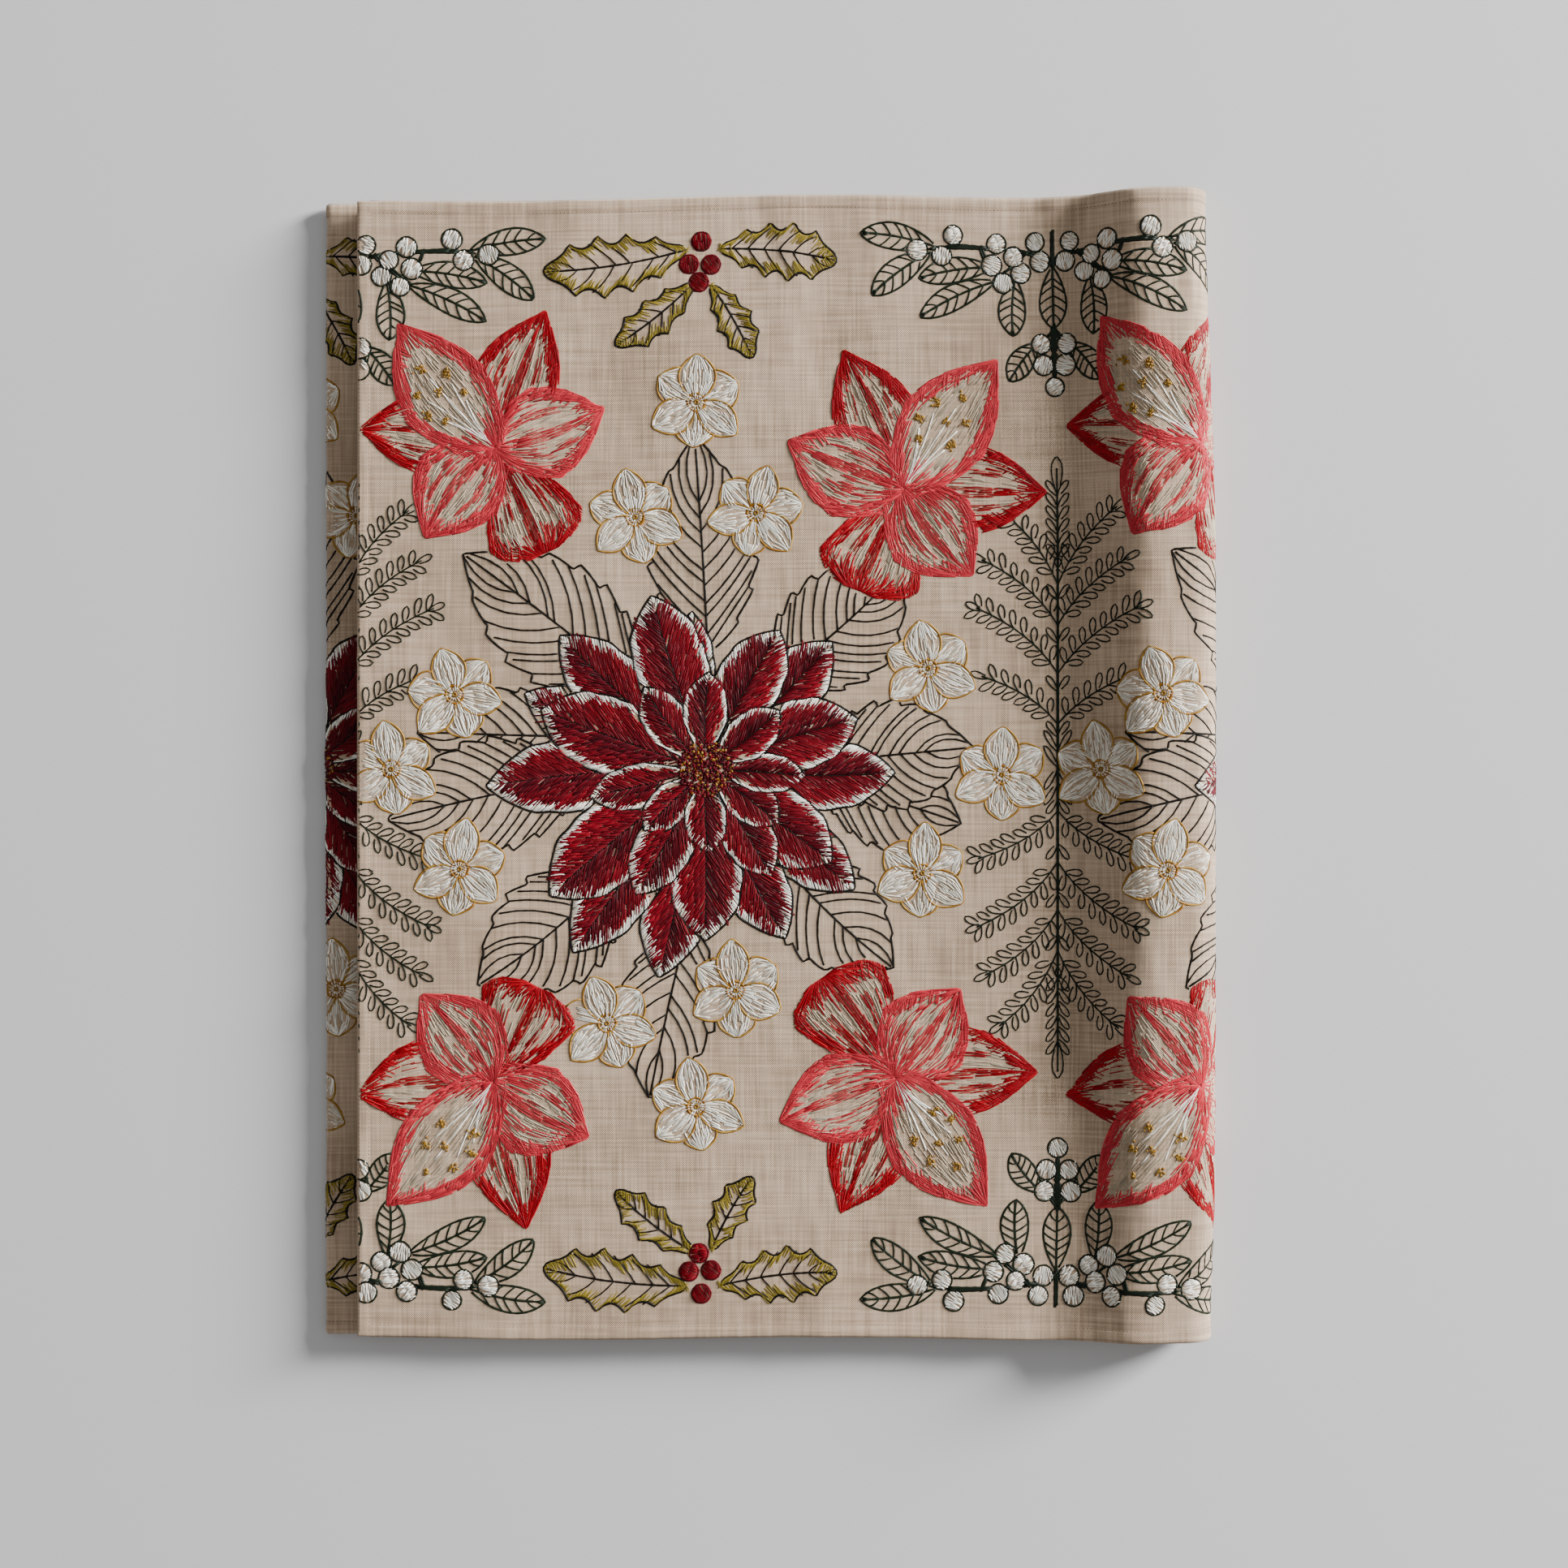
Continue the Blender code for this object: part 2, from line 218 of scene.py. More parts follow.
def arc(centre, radius, start, end, steps):
    """Points of an arc between two angles."""
    return np.asarray(centre) + radius * heading(np.linspace(start, end, steps + 1))


def folded_path():
    """The cloth's middle line as (x, z), the distance along it, and where its stretches end."""
    down, up = -math.pi / 2, math.pi / 2 + FOLD_LEAN
    axis = (AXIS_X, AXIS_Z)
    centre_radius = (INNER_BOTTOM_Z - BOTTOM_Z) / 2
    centre = (CENTRE_FOLD_LEFT + CAD_CLOTH / 2 + centre_radius, BOTTOM_Z + centre_radius)
    stretches = [
        np.vstack([[(FIRST_END_X, TOP_Z)], slope(AXIS_Z - BOTTOM_Z, TOP_Z)]),
        arc(axis, AXIS_Z - BOTTOM_Z, up, down, ARC_STEPS),
        np.array([(AXIS_X, BOTTOM_Z), (centre[0], BOTTOM_Z)]),
        arc(centre, centre_radius, down, down - math.pi, ARC_STEPS // 2),
        np.array([(centre[0], INNER_BOTTOM_Z), (AXIS_X, INNER_BOTTOM_Z)]),
        arc(axis, AXIS_Z - INNER_BOTTOM_Z, down, up, ARC_STEPS),
        slope(AXIS_Z - INNER_BOTTOM_Z, INNER_TOP_Z)[::-1],
    ]
    points, ends, total = [stretches[0][:1]], [], 0.0
    for stretch in stretches:
        total += float(reach_along(stretch)[-1])
        points.append(stretch[1:])
        ends.append(total)
    last = stretches[-1][-1] - (LENGTH - total, 0)
    points = np.vstack(points + [last[None]])
    return points, reach_along(points), ends


PATH, REACH, ENDS = folded_path()
OUTER_FOLD_START, OUTER_FOLD_END = ENDS[0], ENDS[1]
CENTRE_FOLD_MIDDLE = (ENDS[2] + ENDS[3]) / 2
INNER_FOLD_START = ENDS[4]
FRONT = turned(tangents(PATH))


def smooth(f):
    """A soft step from 0 to 1."""
    f = np.clip(f, 0, 1)
    return f * f * (3 - 2 * f)


def bell(value, centre, spread):
    """A soft bump of height 1."""
    return np.exp(-(((value - centre) / spread) ** 2))


# Waves per metre along and across, height share, phase
SOFT_WAVES = (
    (9.0, 6.0, 0.34, 0.4),
    (-13.0, 11.0, 0.22, 2.1),
    (21.0, 7.0, 0.17, 4.0),
    (6.0, -23.0, 0.13, 1.2),
    (33.0, 18.0, 0.08, 5.1),
    (-27.0, 34.0, 0.06, 0.9),
)
PUCKER_WAVES = (
    (88.0, 31.0, 0.4, 0.2),
    (-46.0, 92.0, 0.35, 1.9),
    (61.0, -73.0, 0.25, 3.7),
)
# Soft upright folds that run in from the far and the near edge: place along, spread, height
FAR_FOLDS = ((0.083, 0.011, 0.9), (0.171, 0.008, 1.0), (0.204, 0.012, 0.8), (0.277, 0.008, 1.3))
NEAR_FOLDS = ((0.060, 0.010, 0.5), (0.183, 0.009, 0.8), (0.262, 0.016, 0.9))


def waves(table, s, t):
    return sum(h * np.sin(2 * np.pi * (s * a + t * b) + p) for a, b, h, p in table)


def upright(table, s):
    return sum(h * bell(s, at, spread) for at, spread, h in table)


def ripple(s, t):
    """How far the relaxed cloth stands off its flat shape, along its front."""
    sizes = cloth_sizes()
    far = upright(FAR_FOLDS, s) * smooth((t - 0.10) / 0.11)
    near = upright(NEAR_FOLDS, s) * smooth((-t - 0.12) / 0.1)
    on_top = 1 - smooth((s - OUTER_FOLD_START + 0.03) / 0.03)
    free = 0.35 + 0.65 * on_top
    tall = sizes.ripple * (0.55 * free * waves(SOFT_WAVES, s, t) + on_top * (far + near))
    under = smooth((s - OUTER_FOLD_END) / 0.02) * smooth((ENDS[2] - s) / 0.02)
    return (tall + sizes.pucker * waves(PUCKER_WAVES, s, t)) * (1 - 0.7 * under)


def hem_relief(s, t):
    """The hem's own thickness and the groove along its stitches."""
    hem = cloth_sizes().hem
    inset = np.minimum(HALF_WIDTH - np.abs(t), np.minimum(s, LENGTH - s))
    step = smooth(inset / 0.0012) - smooth((inset - hem + 0.0012) / 0.0016)
    groove = bell(inset, hem - SEAM_INSET, 0.0005)
    return 0.00026 * step - 0.00012 * groove


def place(s, t, lift=0.0):
    """Points of the folded cloth, this far out from its middle on its front side."""
    s, t, lift = np.broadcast_arrays(*(np.asarray(v, float) for v in (s, t, lift)))
    x, z = (np.interp(s, REACH, PATH[:, i]) for i in (0, 1))
    fx, fz = (np.interp(s, REACH, FRONT[:, i]) for i in (0, 1))
    off = (lift + ripple(s, t) + hem_relief(s, t)) / np.hypot(fx, fz)
    x, z = x + fx * off, z + fz * off
    # The puffed fold stands a little higher at its far end and lower at its near end
    rising = smooth((x - AXIS_X + 0.075) / 0.07)
    tall = 0.04 * smooth((t - 0.10) / 0.12) - 0.24 * smooth((-t - 0.05) / 0.17)
    z = BOTTOM_Z + (z - BOTTOM_Z) * (1 + tall * rising)
    # Both of its ends are drawn in from the right edge
    pull = 0.0042 * smooth((t - 0.08) / 0.145) + 0.0014 * smooth((-t - 0.16) / 0.06)
    x = x - pull * smooth((x - AXIS_X + 0.11) / 0.11)
    # The first end runs slightly aslant, and the long edges wander
    skew = 0.0022 * smooth((FIRST_END_X + 0.16 - x) / 0.16) * smooth((t - 0.04) / 0.18)
    bow = 0.0006 * np.sin(34 * x + 1.0) * smooth((np.abs(t) - 0.15) / 0.07)
    return np.stack([x, t - skew + bow, z], -1)


# Zones of the cloth, each one piece of every kind

BLEND_LEAN = np.array([-0.3, 0, 0.954])  # the way across the outer fold from one half to the other


class Zone:
    """A stretch of the cloth that moves as one."""

    def __init__(self, name, start, end, fold=None):
        self.name, self.start, self.end, self.fold = name, start, end, fold

    def holds(self, s):
        return (s >= self.start) & (s < self.end)

    def attach(self, piece):
        """The piece rides on the lower half; a piece on a fold only has its transform applied and
        hangs on no body.
        """
        if self.fold is None:
            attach(piece, LOWER)
            return
        axis = np.array([AXIS_X, 0, AXIS_Z])
        start, end = (tuple(axis + BLEND_LEAN * reach) for reach in self.fold)
        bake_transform(piece)
        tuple(start)
        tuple(end)


TOP = Zone("top", 0, OUTER_FOLD_END, fold=(-0.0086, 0.0058))
BOTTOM = Zone("bottom", OUTER_FOLD_END, CENTRE_FOLD_MIDDLE)
INNER_BOTTOM = Zone("inner_bottom", CENTRE_FOLD_MIDDLE, INNER_FOLD_START)
INNER_TOP = Zone("inner_top", INNER_FOLD_START, LENGTH, fold=(-0.0060, 0.0036))
LOWER_CLOTH = Zone("lower", OUTER_FOLD_END, INNER_FOLD_START)
ZONES = (TOP, BOTTOM, INNER_BOTTOM, INNER_TOP)


# Materials


def put(tree, socket, value):
    """Links a value's socket to this one, or writes a plain number or colour into it."""
    if isinstance(value, Value):
        tree.links.new(value.socket, socket)
    else:
        socket.default_value = value


class Value:
    """A socket of a node tree, with Python's operators as Math nodes."""

    def __init__(self, tree, socket):
        self.tree, self.socket = tree, socket

    def math(self, operation, *others):
        node = self.tree.nodes.new("ShaderNodeMath")
        node.operation = operation
        for socket, value in zip(node.inputs, (self, *others)):
            put(self.tree, socket, value)
        return Value(self.tree, node.outputs[0])

    def clamped(self):
        return self.math("MINIMUM", 1).math("MAXIMUM", 0)

    def __add__(self, other):
        return self.math("ADD", other)

    def __mul__(self, other):
        return self.math("MULTIPLY", other)

    def __sub__(self, other):
        return self.math("SUBTRACT", other)

    def __rsub__(self, other):
        return (self * -1) + other

    __radd__ = __add__
    __rmul__ = __mul__


class Finish:
    """A material under construction, made of procedural nodes."""

    def __init__(self, name):
        self.material = bpy.data.materials.new(name)
        self.material.use_nodes = True
        self.tree = self.material.node_tree
        self.shader = self.tree.nodes["Principled BSDF"]

    def node(self, kind, settings=None, output=0, **inputs):
        """One node of this type, its settings first and then its sockets; returns an output."""
        node = self.tree.nodes.new("ShaderNode" + kind)
        for name, value in (settings or {}).items():
            setattr(node, name, value)
        for name, value in inputs.items():
            put(self.tree, node.inputs[name.replace("_", " ")], value)
        return Value(self.tree, node.outputs[output])

    def set(self, **sockets):
        """Values or links for the shader's own sockets."""
        for name, value in sockets.items():
            put(self.tree, self.shader.inputs[name.replace("_", " ")], value)

    def mix(self, factor, a, b):
        """A colour between a and b."""
        node = self.tree.nodes.new("ShaderNodeMix")
        node.data_type = "RGBA"
        put(self.tree, node.inputs[0], factor)
        for socket, value in zip(node.inputs[6:8], (a, b)):
            put(self.tree, socket, value if isinstance(value, Value) else (*value, 1))
        return Value(self.tree, node.outputs[2])

    def cloth_point(self):
        """The point (s, t) of the cloth in metres."""
        return self.node("UVMap", {"uv_map": "cloth"})

    def noise(self, along, across, detail=2.0):
        """Noise stretched by its number of cells per metre along and across the cloth."""
        stretched = self.node(
            "VectorMath", {"operation": "MULTIPLY"}, Vector=self.cloth_point()
        )
        stretched.socket.node.inputs[1].default_value = (along, across, 1)
        return self.node("TexNoise", Vector=stretched, Scale=1.0, Detail=detail)

    def bump(self, height, distance, strength):
        return self.node("Bump", Height=height, Distance=distance, Strength=strength)


YARN_PITCH = 0.00082  # from one crest of the drawn weave to the next


@functools.cache
def linen(name):
    """Plain weave with thick and thin yarns, and painted mottled shade that stands in for the shading
    of soft undulations.
    """
    sizes = cloth_sizes()
    made = Finish(name)
    along = made.node("SeparateXYZ", Vector=made.cloth_point())
    across = Value(made.tree, along.socket.node.outputs[1])
    yarns = 2 * math.pi / YARN_PITCH
    wander = made.noise(120, 120) * 1.6
    weft = (along * yarns + wander).math("SINE")
    warp = (across * yarns + wander).math("SINE")
    weave = weft * warp
    # Yarns of uneven thickness, about a millimetre wide and 30 long
    thick_weft = made.noise(1150, 34, 3.0)
    thick_warp = made.noise(28, 1050, 3.0)
    slubs = (thick_weft + thick_warp) * 0.5
    # Painted shade: broad darker and lighter patches about 45 mm across, standing in for the shading
    # of soft undulations
    painted_mottled_shade = made.noise(22, 22, 4.0)
    shade = (slubs - 0.5) * 3.2 + (painted_mottled_shade - 0.5) * 1.2 + weave * 0.16 + 0.55
    made.set(
        Base_Color=made.mix(shade.clamped(), sizes.linen_dark, sizes.linen),
        Roughness=slubs * 0.2 + 0.78,
        Normal=made.bump(weave * 0.5 + slubs * 1.4, 0.00022, 0.85),
    )
    made.set(Sheen_Weight=0.25, Sheen_Roughness=0.6, Specular_IOR_Level=0.25)
    return made.material


# The thread colours: the record's slot, the darkest and the brightest tone
THREADS = {
    "crimson": ("crimson_thread", srgb(50, 0, 10), srgb(136, 1, 22)),
    "scarlet": ("scarlet_thread", srgb(106, 0, 14), srgb(178, 1, 24)),
    "coral": ("coral_thread", srgb(150, 24, 38), srgb(206, 62, 70)),
    "ivory": ("ivory_thread", srgb(188, 180, 162), srgb(250, 247, 238)),
    "olive": ("olive_thread", srgb(90, 78, 16), srgb(158, 138, 50)),
    "dark_green": ("dark_green_thread", srgb(7, 14, 8), srgb(26, 38, 20)),
    "pale_green": ("pale_green_thread", srgb(158, 144, 122), srgb(198, 186, 164)),
    "ink": ("ink_thread", srgb(7, 5, 3), srgb(22, 18, 13)),
    "gold": ("gold_thread", srgb(122, 74, 8), srgb(180, 150, 66)),
}


@functools.cache
def thread(name):
    """A thread whose lightness follows the tone kept with each stitch."""
    slot, dark, bright = THREADS[name]
    made = Finish(slot)
    tone = made.node("Attribute", {"attribute_name": "tone"}, output=2)
    fleck = made.noise(2600, 2600, 1.0)
    shade = tone + (fleck - 0.5) * 0.35
    made.set(
        Base_Color=made.mix(shade.clamped(), dark, bright),
        Roughness=fleck * 0.2 + 0.42,
        Normal=made.bump(fleck, 0.00008, 0.5),
    )
    made.set(Specular_IOR_Level=0.16)
    return made.material


@functools.cache
def sewing_thread():
    made = Finish("sewing_thread")
    fleck = made.noise(1800, 1800, 1.0)
    made.set(
        Base_Color=made.mix(fleck, srgb(104, 84, 66), srgb(146, 124, 104)),
        Roughness=fleck * 0.2 + 0.5,
        Normal=made.bump(fleck, 0.00005, 0.4),
    )
    return made.material


# Meshes


def zone_place(zone, st):
    """Where places on the cloth lie in this zone, from 0 to 1 along and across."""
    along = (st[:, 0] - zone.start) / (zone.end - zone.start)
    return np.stack([along, st[:, 1] / HALF_WIDTH / 2 + 0.5], 1)


def new_mesh(name, points, triangles, zone, st, material, tone=None, bake=None):
    """A mesh object from arrays, with its place on the cloth kept in UV layers."""
    mesh = bpy.data.meshes.new(name)
    mesh.vertices.add(len(points))
    mesh.vertices.foreach_set("co", np.ascontiguousarray(points, np.float32).ravel())
    mesh.loops.add(triangles.size)
    mesh.loops.foreach_set("vertex_index", np.ascontiguousarray(triangles, np.int32).ravel())
    mesh.polygons.add(len(triangles))
    mesh.polygons.foreach_set("loop_start", np.arange(0, triangles.size, 3, dtype=np.int32))
    mesh.update(calc_edges=True)
    if tone is not None:
        layer = mesh.attributes.new("tone", "FLOAT", "POINT")
        layer.data.foreach_set("value", np.ascontiguousarray(tone, np.float32))
    corner = triangles.ravel()
    if bake is None:
        bake = np.clip(zone_place(zone, st), 0, 1)[corner]
    for layer_name, uv in (("OFBake", bake), ("cloth", st[corner])):
        layer = mesh.uv_layers.new(name=layer_name)
        layer.data.foreach_set("uv", np.ascontiguousarray(uv, np.float32).ravel())
    mesh.materials.append(material)
    piece = bpy.data.objects.new(name, mesh)
    bpy.context.scene.collection.objects.link(piece)
    return piece


def quads(rows):
    """Two triangles for each row of four corners."""
    rows = np.asarray(rows)
    return np.concatenate([rows[:, [0, 1, 2]], rows[:, [0, 2, 3]]])


EDGE_BAND, EDGE_STEP = 0.0072, 0.0006  # the closely stepped band along each edge
BEFORE_FOLD = 0.003  # how far before a fold the steps close up


def steps_across(coarse):
    """Places across the cloth, close together along the hems."""
    hem = np.arange(0, EDGE_BAND, EDGE_STEP)
    width = 2 * HALF_WIDTH
    inner = np.linspace(EDGE_BAND, width - EDGE_BAND, int(round(width / coarse)))
    return np.concatenate([hem, inner, width - hem[::-1]]) - HALF_WIDTH


def steps_along(zone, coarse):
    """Places along the cloth, close together at the end hems and round the folds."""
    steps = [zone.start]
    folds = list(zip(ENDS[0::2], ENDS[1::2]))
    while steps[-1] < zone.end:
        s = steps[-1]
        step = coarse
        if s <= EDGE_BAND or s >= LENGTH - EDGE_BAND:
            step = EDGE_STEP
        elif any(low - BEFORE_FOLD < s < high for low, high in folds):
            step = 0.4 * coarse
        steps.append(s + step)
    steps[-1] = zone.end
    return np.array(steps)


def sheet_of_cloth(name, zone, coarse):
    """A thin closed sheet: a front, a back and the rim between them."""
    s = steps_along(zone, coarse)
    t = steps_across(1.5 * coarse)
    rows, columns = len(s), len(t)
    grid_s, grid_t = (g.ravel() for g in np.meshgrid(s, t, indexing="ij"))
    half = cloth_sizes().thickness / 2
    points = np.vstack([place(grid_s, grid_t, half), place(grid_s, grid_t, -half)])
    total = rows * columns
    index = np.arange(total).reshape(rows, columns)
    front = np.stack([index[:-1, :-1], index[1:, :-1], index[1:, 1:], index[:-1, 1:]], -1)
    front = front.reshape(-1, 4)
    back = front[:, ::-1] + total
    loop = np.concatenate([index[0], index[1:, -1], index[-1, -2::-1], index[-2:0:-1, 0]])
    after = np.roll(loop, -1)
    rim = np.stack([loop, after, after + total, loop + total], 1)
    triangles = np.concatenate([quads(front), quads(back), quads(rim)])
    corner = triangles.ravel()
    st = np.tile(np.stack([grid_s, grid_t], 1), (2, 1))
    is_back = np.arange(len(st)) >= total
    bake = zone_place(zone, st)
    bake[:, 0] = 0.002 + 0.494 * bake[:, 0] + 0.504 * is_back
    bake = bake[corner]
    rim_start = 3 * 2 * (len(front) + len(back))
    on_back = is_back[corner[rim_start:]]
    bake[rim_start:, 0] -= 0.504 * on_back
    bake[rim_start:] += 0.0008 * on_back[:, None]
    return new_mesh(name, points, triangles, zone, st, linen("linen"), bake=np.clip(bake, 0, 1))


def both(*names):
    """The names of the near and the far one of each of these."""
    return tuple(f"{name}_{side}" for name in names for side in ("near", "far"))


class WeaveCloth(bpy.types.Operator):
    """The linen strip as three sheets: the top with the outer fold, the lower and the inner top"""

    bl_idname = "runner.weave_cloth"
    bl_label = "Linen cloth"
    parts = (
        ("cloth_top", TOP, 0.0022, ("top_panel", "outer_fold")),
        ("cloth_lower", LOWER_CLOTH, 0.0030, ("bottom_panel", "centre_fold", "inner_bottom_panel")),
        ("cloth_inner_top", INNER_TOP, 0.0028, ("inner_fold", "inner_top_panel")),
    )

    def execute(self, context):
        for name, zone, coarse, nodes in self.parts:
            piece = sheet_of_cloth(name, zone, coarse)
            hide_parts(*nodes)
            zone.attach(piece)
        return {"FINISHED"}


def declare_sheets():
    """Works out each part of the strip's length and which pieces go with it, but keeps none of it."""
    for name, zone, _, _ in WeaveCloth.parts:
        zones = (BOTTOM, INNER_BOTTOM) if zone is LOWER_CLOTH else (zone,)
        for piece in bpy.data.objects:
            any(piece.name in sewn_names(part) for part in zones)
        zone.end - zone.start


def sewn_names(zone):
    return {f"{name}_thread_{zone.name}" for name in THREADS} | {f"hem_stitches_{zone.name}"}


def tube(rings, around):
    """Triangles of a closed tube through this many rings, with this many points round each."""
    index = np.arange(rings * around).reshape(rings, around)
    beside = np.roll(index, -1, axis=1)
    sides = np.stack([index[:-1], beside[:-1], beside[1:], index[1:]], -1).reshape(-1, 4)
    found = [quads(sides)]
    for end, order in ((index[0], 1), (index[-1], -1)):
        fan = np.stack([np.full(around - 2, end[0]), end[1:-1], end[2:]], 1)
        found.append(fan[:, ::-order])
    return np.concatenate(found)


HEM_CORNER = 0.0052  # where the side hems stop short of the end hems
HEM_PITCH = 0.0035
END_HEM_STEPS = 130


def hem_section(order):
    """The turned edge of the hem, in this order: inset from the edge and lift."""
    half = cloth_sizes().thickness / 2
    depth = cloth_sizes().hem
    inset = (0.0004, -0.0003, -0.0003, 0.0003, depth - 0.0004, depth, depth, 0.0004)
    lift = (half * 0.8, 0.0001, -0.00055, -3.2 * half, -3.2 * half, -2.8 * half, -1.5 * half,
            -1.2 * half)
    return np.array(inset)[::order], np.array(lift)[::order]


def side_hem(zone, side):
    """A strip turned under along one long side, as s, t and lift."""
    start, end = max(zone.start, HEM_CORNER), min(zone.end, LENGTH - HEM_CORNER)
    s = np.linspace(start, end, int((end - start) / HEM_PITCH))
    inset, lift = hem_section(-side)
    return np.broadcast_arrays(s[:, None], side * (HALF_WIDTH - inset), lift)


def end_hem(first):
    """A strip turned under across one end, as s, t and lift."""
    t = np.linspace(-HALF_WIDTH, HALF_WIDTH, END_HEM_STEPS)
    inset, lift = hem_section(-1 if first else 1)
    return np.broadcast_arrays(inset if first else LENGTH - inset, t[:, None], lift)


def sweep(grids):
    """Points, triangles and cloth places of several swept strips together."""
    points, triangles, st, count = [], [], [], 0
    for grid_s, grid_t, lift in grids:
        found = place(grid_s.ravel(), grid_t.ravel(), lift.ravel())
        faces = tube(*grid_s.shape)
        if np.linalg.det(found[faces] - found.mean(0)).sum() < 0:
            faces = faces[:, ::-1]
        triangles.append(faces + count)
        points.append(found)
        st.append(np.stack([grid_s.ravel(), grid_t.ravel()], 1))
        count += len(found)
    return np.vstack(points), np.concatenate(triangles), np.vstack(st)


class SewHems(bpy.types.Operator):
    """The turned hems on the wrong side of the cloth"""

    bl_idname = "runner.sew_hems"
    bl_label = "Turned hems"
    parts = (
        ("hem_top", TOP, (*both("top_side_hem"), "top_end_hem"), True),
        ("hem_lower", LOWER_CLOTH, both("bottom_side_hem", "inner_bottom_side_hem"), None),
        ("hem_inner_top", INNER_TOP, (*both("inner_top_side_hem"), "inner_end_hem"), False),
    )

    def execute(self, context):
        for name, zone, nodes, first in self.parts:
            grids = [side_hem(zone, side) for side in (-1, 1)]
            if first is not None:
                grids.append(end_hem(first))
            points, triangles, st = sweep(grids)
            piece = new_mesh(name, points, triangles, zone, st, linen("hem_linen"))
            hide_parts(*nodes)
            zone.attach(piece)
        return {"FINISHED"}


# Stitches

POINTED_END = 0.0007  # how much of a thread narrows at each end
SUNK = 0.00003  # how far a thread sinks into the cloth


def spindle_mesh(a, b, width, rise, tone, base):
    """Closed little threads from a to b, both (n, 2) places on the cloth, pointed at their ends."""
    along = b - a
    reach = np.maximum(np.linalg.norm(along, axis=1), 1e-6)
    across = turned(along) / reach[:, None] * (width / 2)[:, None]
    taper = np.minimum(0.3, POINTED_END / reach)[:, None]
    near, far = a + along * taper, b - along * taper
    st = np.stack([a, near + across, near, near - across, far + across, far, far - across, b], 1)
    low, high = base - SUNK, base + rise
    lift = np.stack([low, base, high, base, base, high, base, low], 1)
    shape = np.array(
        [(0, 2, 1), (0, 3, 2), (0, 1, 3), (1, 2, 5), (1, 5, 4), (2, 3, 6), (2, 6, 5)]
        + [(3, 1, 4), (3, 4, 6), (7, 4, 5), (7, 5, 6), (7, 6, 4)]
    )
    triangles = (shape[None] + 8 * np.arange(len(a))[:, None, None]).reshape(-1, 3)
    return st.reshape(-1, 2), lift.ravel(), triangles, np.repeat(tone, 8)


def line_mesh(points, width, rise, tone, base, linked):
    """Threads laid along lines; linked[i] says that point i is joined to point i + 1."""
    after = np.concatenate([linked, [False]])
    before = np.concatenate([[False], linked])
    used = after | before
    to_next = np.zeros_like(points)
    to_next[:-1] = points[1:] - points[:-1]
    along = np.where(after[:, None], to_next, 0)
    along[1:] += np.where(before[1:, None], to_next[:-1], 0)
    reach = np.maximum(np.linalg.norm(along, axis=1), 1e-9)
    across = turned(along) / reach[:, None] * (width / 2)[:, None]
    st = np.stack([points + across, points, points - across], 1)[used]
    lift = np.stack([base, base + rise, base], 1)[used]
    order = np.cumsum(used) - 1
    i = 3 * order[np.flatnonzero(linked)]
    j = i + 3
    sides = np.concatenate([
        np.stack([i, i + 1, j + 1, j], 1),
        np.stack([i + 1, i + 2, j + 2, j + 1], 1),
        np.stack([i + 2, i, j, j + 2], 1),
    ])
    first = 3 * order[after & ~before]
    last = 3 * order[before & ~after]
    caps = np.concatenate([
        np.stack([first, first + 2, first + 1], 1),
        np.stack([last, last + 1, last + 2], 1),
    ])
    triangles = np.concatenate([quads(sides), caps])
    return st.reshape(-1, 2), lift.ravel(), triangles, np.repeat(tone[used], 3)


def hem_stitches(zone):
    """Short stitches along the hems that lie in this zone, as two ends in s and t."""
    sizes = cloth_sizes()
    inner_row, outer_row = sizes.hem - SEAM_INSET, 0.0011
    pitch = sizes.stitch_pitch
    starts, ends = [], []

    def row(s, t, step):
        start = np.column_stack(np.broadcast_arrays(s, t))
        starts.append(start)
        ends.append(start + step)

    s = np.arange(0.0055, LENGTH - 0.0055, pitch)
    for side in (-1, 1):
        row(s[zone.holds(s)], side * (HALF_WIDTH - inner_row), (0.8 * pitch, 0))
    t = np.arange(-HALF_WIDTH + 0.002, HALF_WIDTH - 0.003, pitch)
    for inset in (outer_row, inner_row):
        for s in (inset, LENGTH - inset):
            if zone.holds(s):
                row(s, t, (0, 0.8 * pitch))
    return np.vstack(starts), np.vstack(ends)


class SewStitching(bpy.types.Operator):
    """The rows of small stitches that hold the hems"""

    bl_idname = "runner.sew_stitching"
    bl_label = "Hem stitching"
    nodes = {"top": (*both("side_stitching"), "end_stitching_outer", "end_stitching_inner")}

    def execute(self, context):
        half = cloth_sizes().thickness / 2
        for zone in ZONES:
            a, b = hem_stitches(zone)
            same = np.ones(len(a))
            st, lift, triangles, tone = spindle_mesh(
                a, b, 0.0004 * same, 0.00016 * same, 0.5 * same, half * same
            )
            points = place(st[:, 0], st[:, 1], lift)
            name = "hem_stitches_" + zone.name
            piece = new_mesh(name, points, triangles, zone, st, sewing_thread(), tone)
            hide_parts(*self.nodes.get(zone.name, ()))
            zone.attach(piece)
        return {"FINISHED"}


# The drawing of one repeat, in millimetres from its centre


def inside(points, outline):
    """Which of the points lie within a closed outline."""
    x, y = points[:, 0], points[:, 1]
    found = np.zeros(len(points), bool)
    for (x0, y0), (x1, y1) in zip(outline, np.roll(outline, -1, 0)):
        if y0 != y1:
            crosses = (y0 > y) != (y1 > y)
            found ^= crosses & (x < x0 + (y - y0) * (x1 - x0) / (y1 - y0))
    return found


def resampled(points, step):
    """The same line with points this far apart."""
    reach = reach_along(points)
    places = np.linspace(0, reach[-1], max(2, int(round(reach[-1] / step)) + 1))
    return np.stack([np.interp(places, reach, points[:, i]) for i in (0, 1)], 1)


def ring(centre, radius, count=14):
    """A closed circle of points."""
    return arc(centre, radius, 0, 2 * np.pi, count)


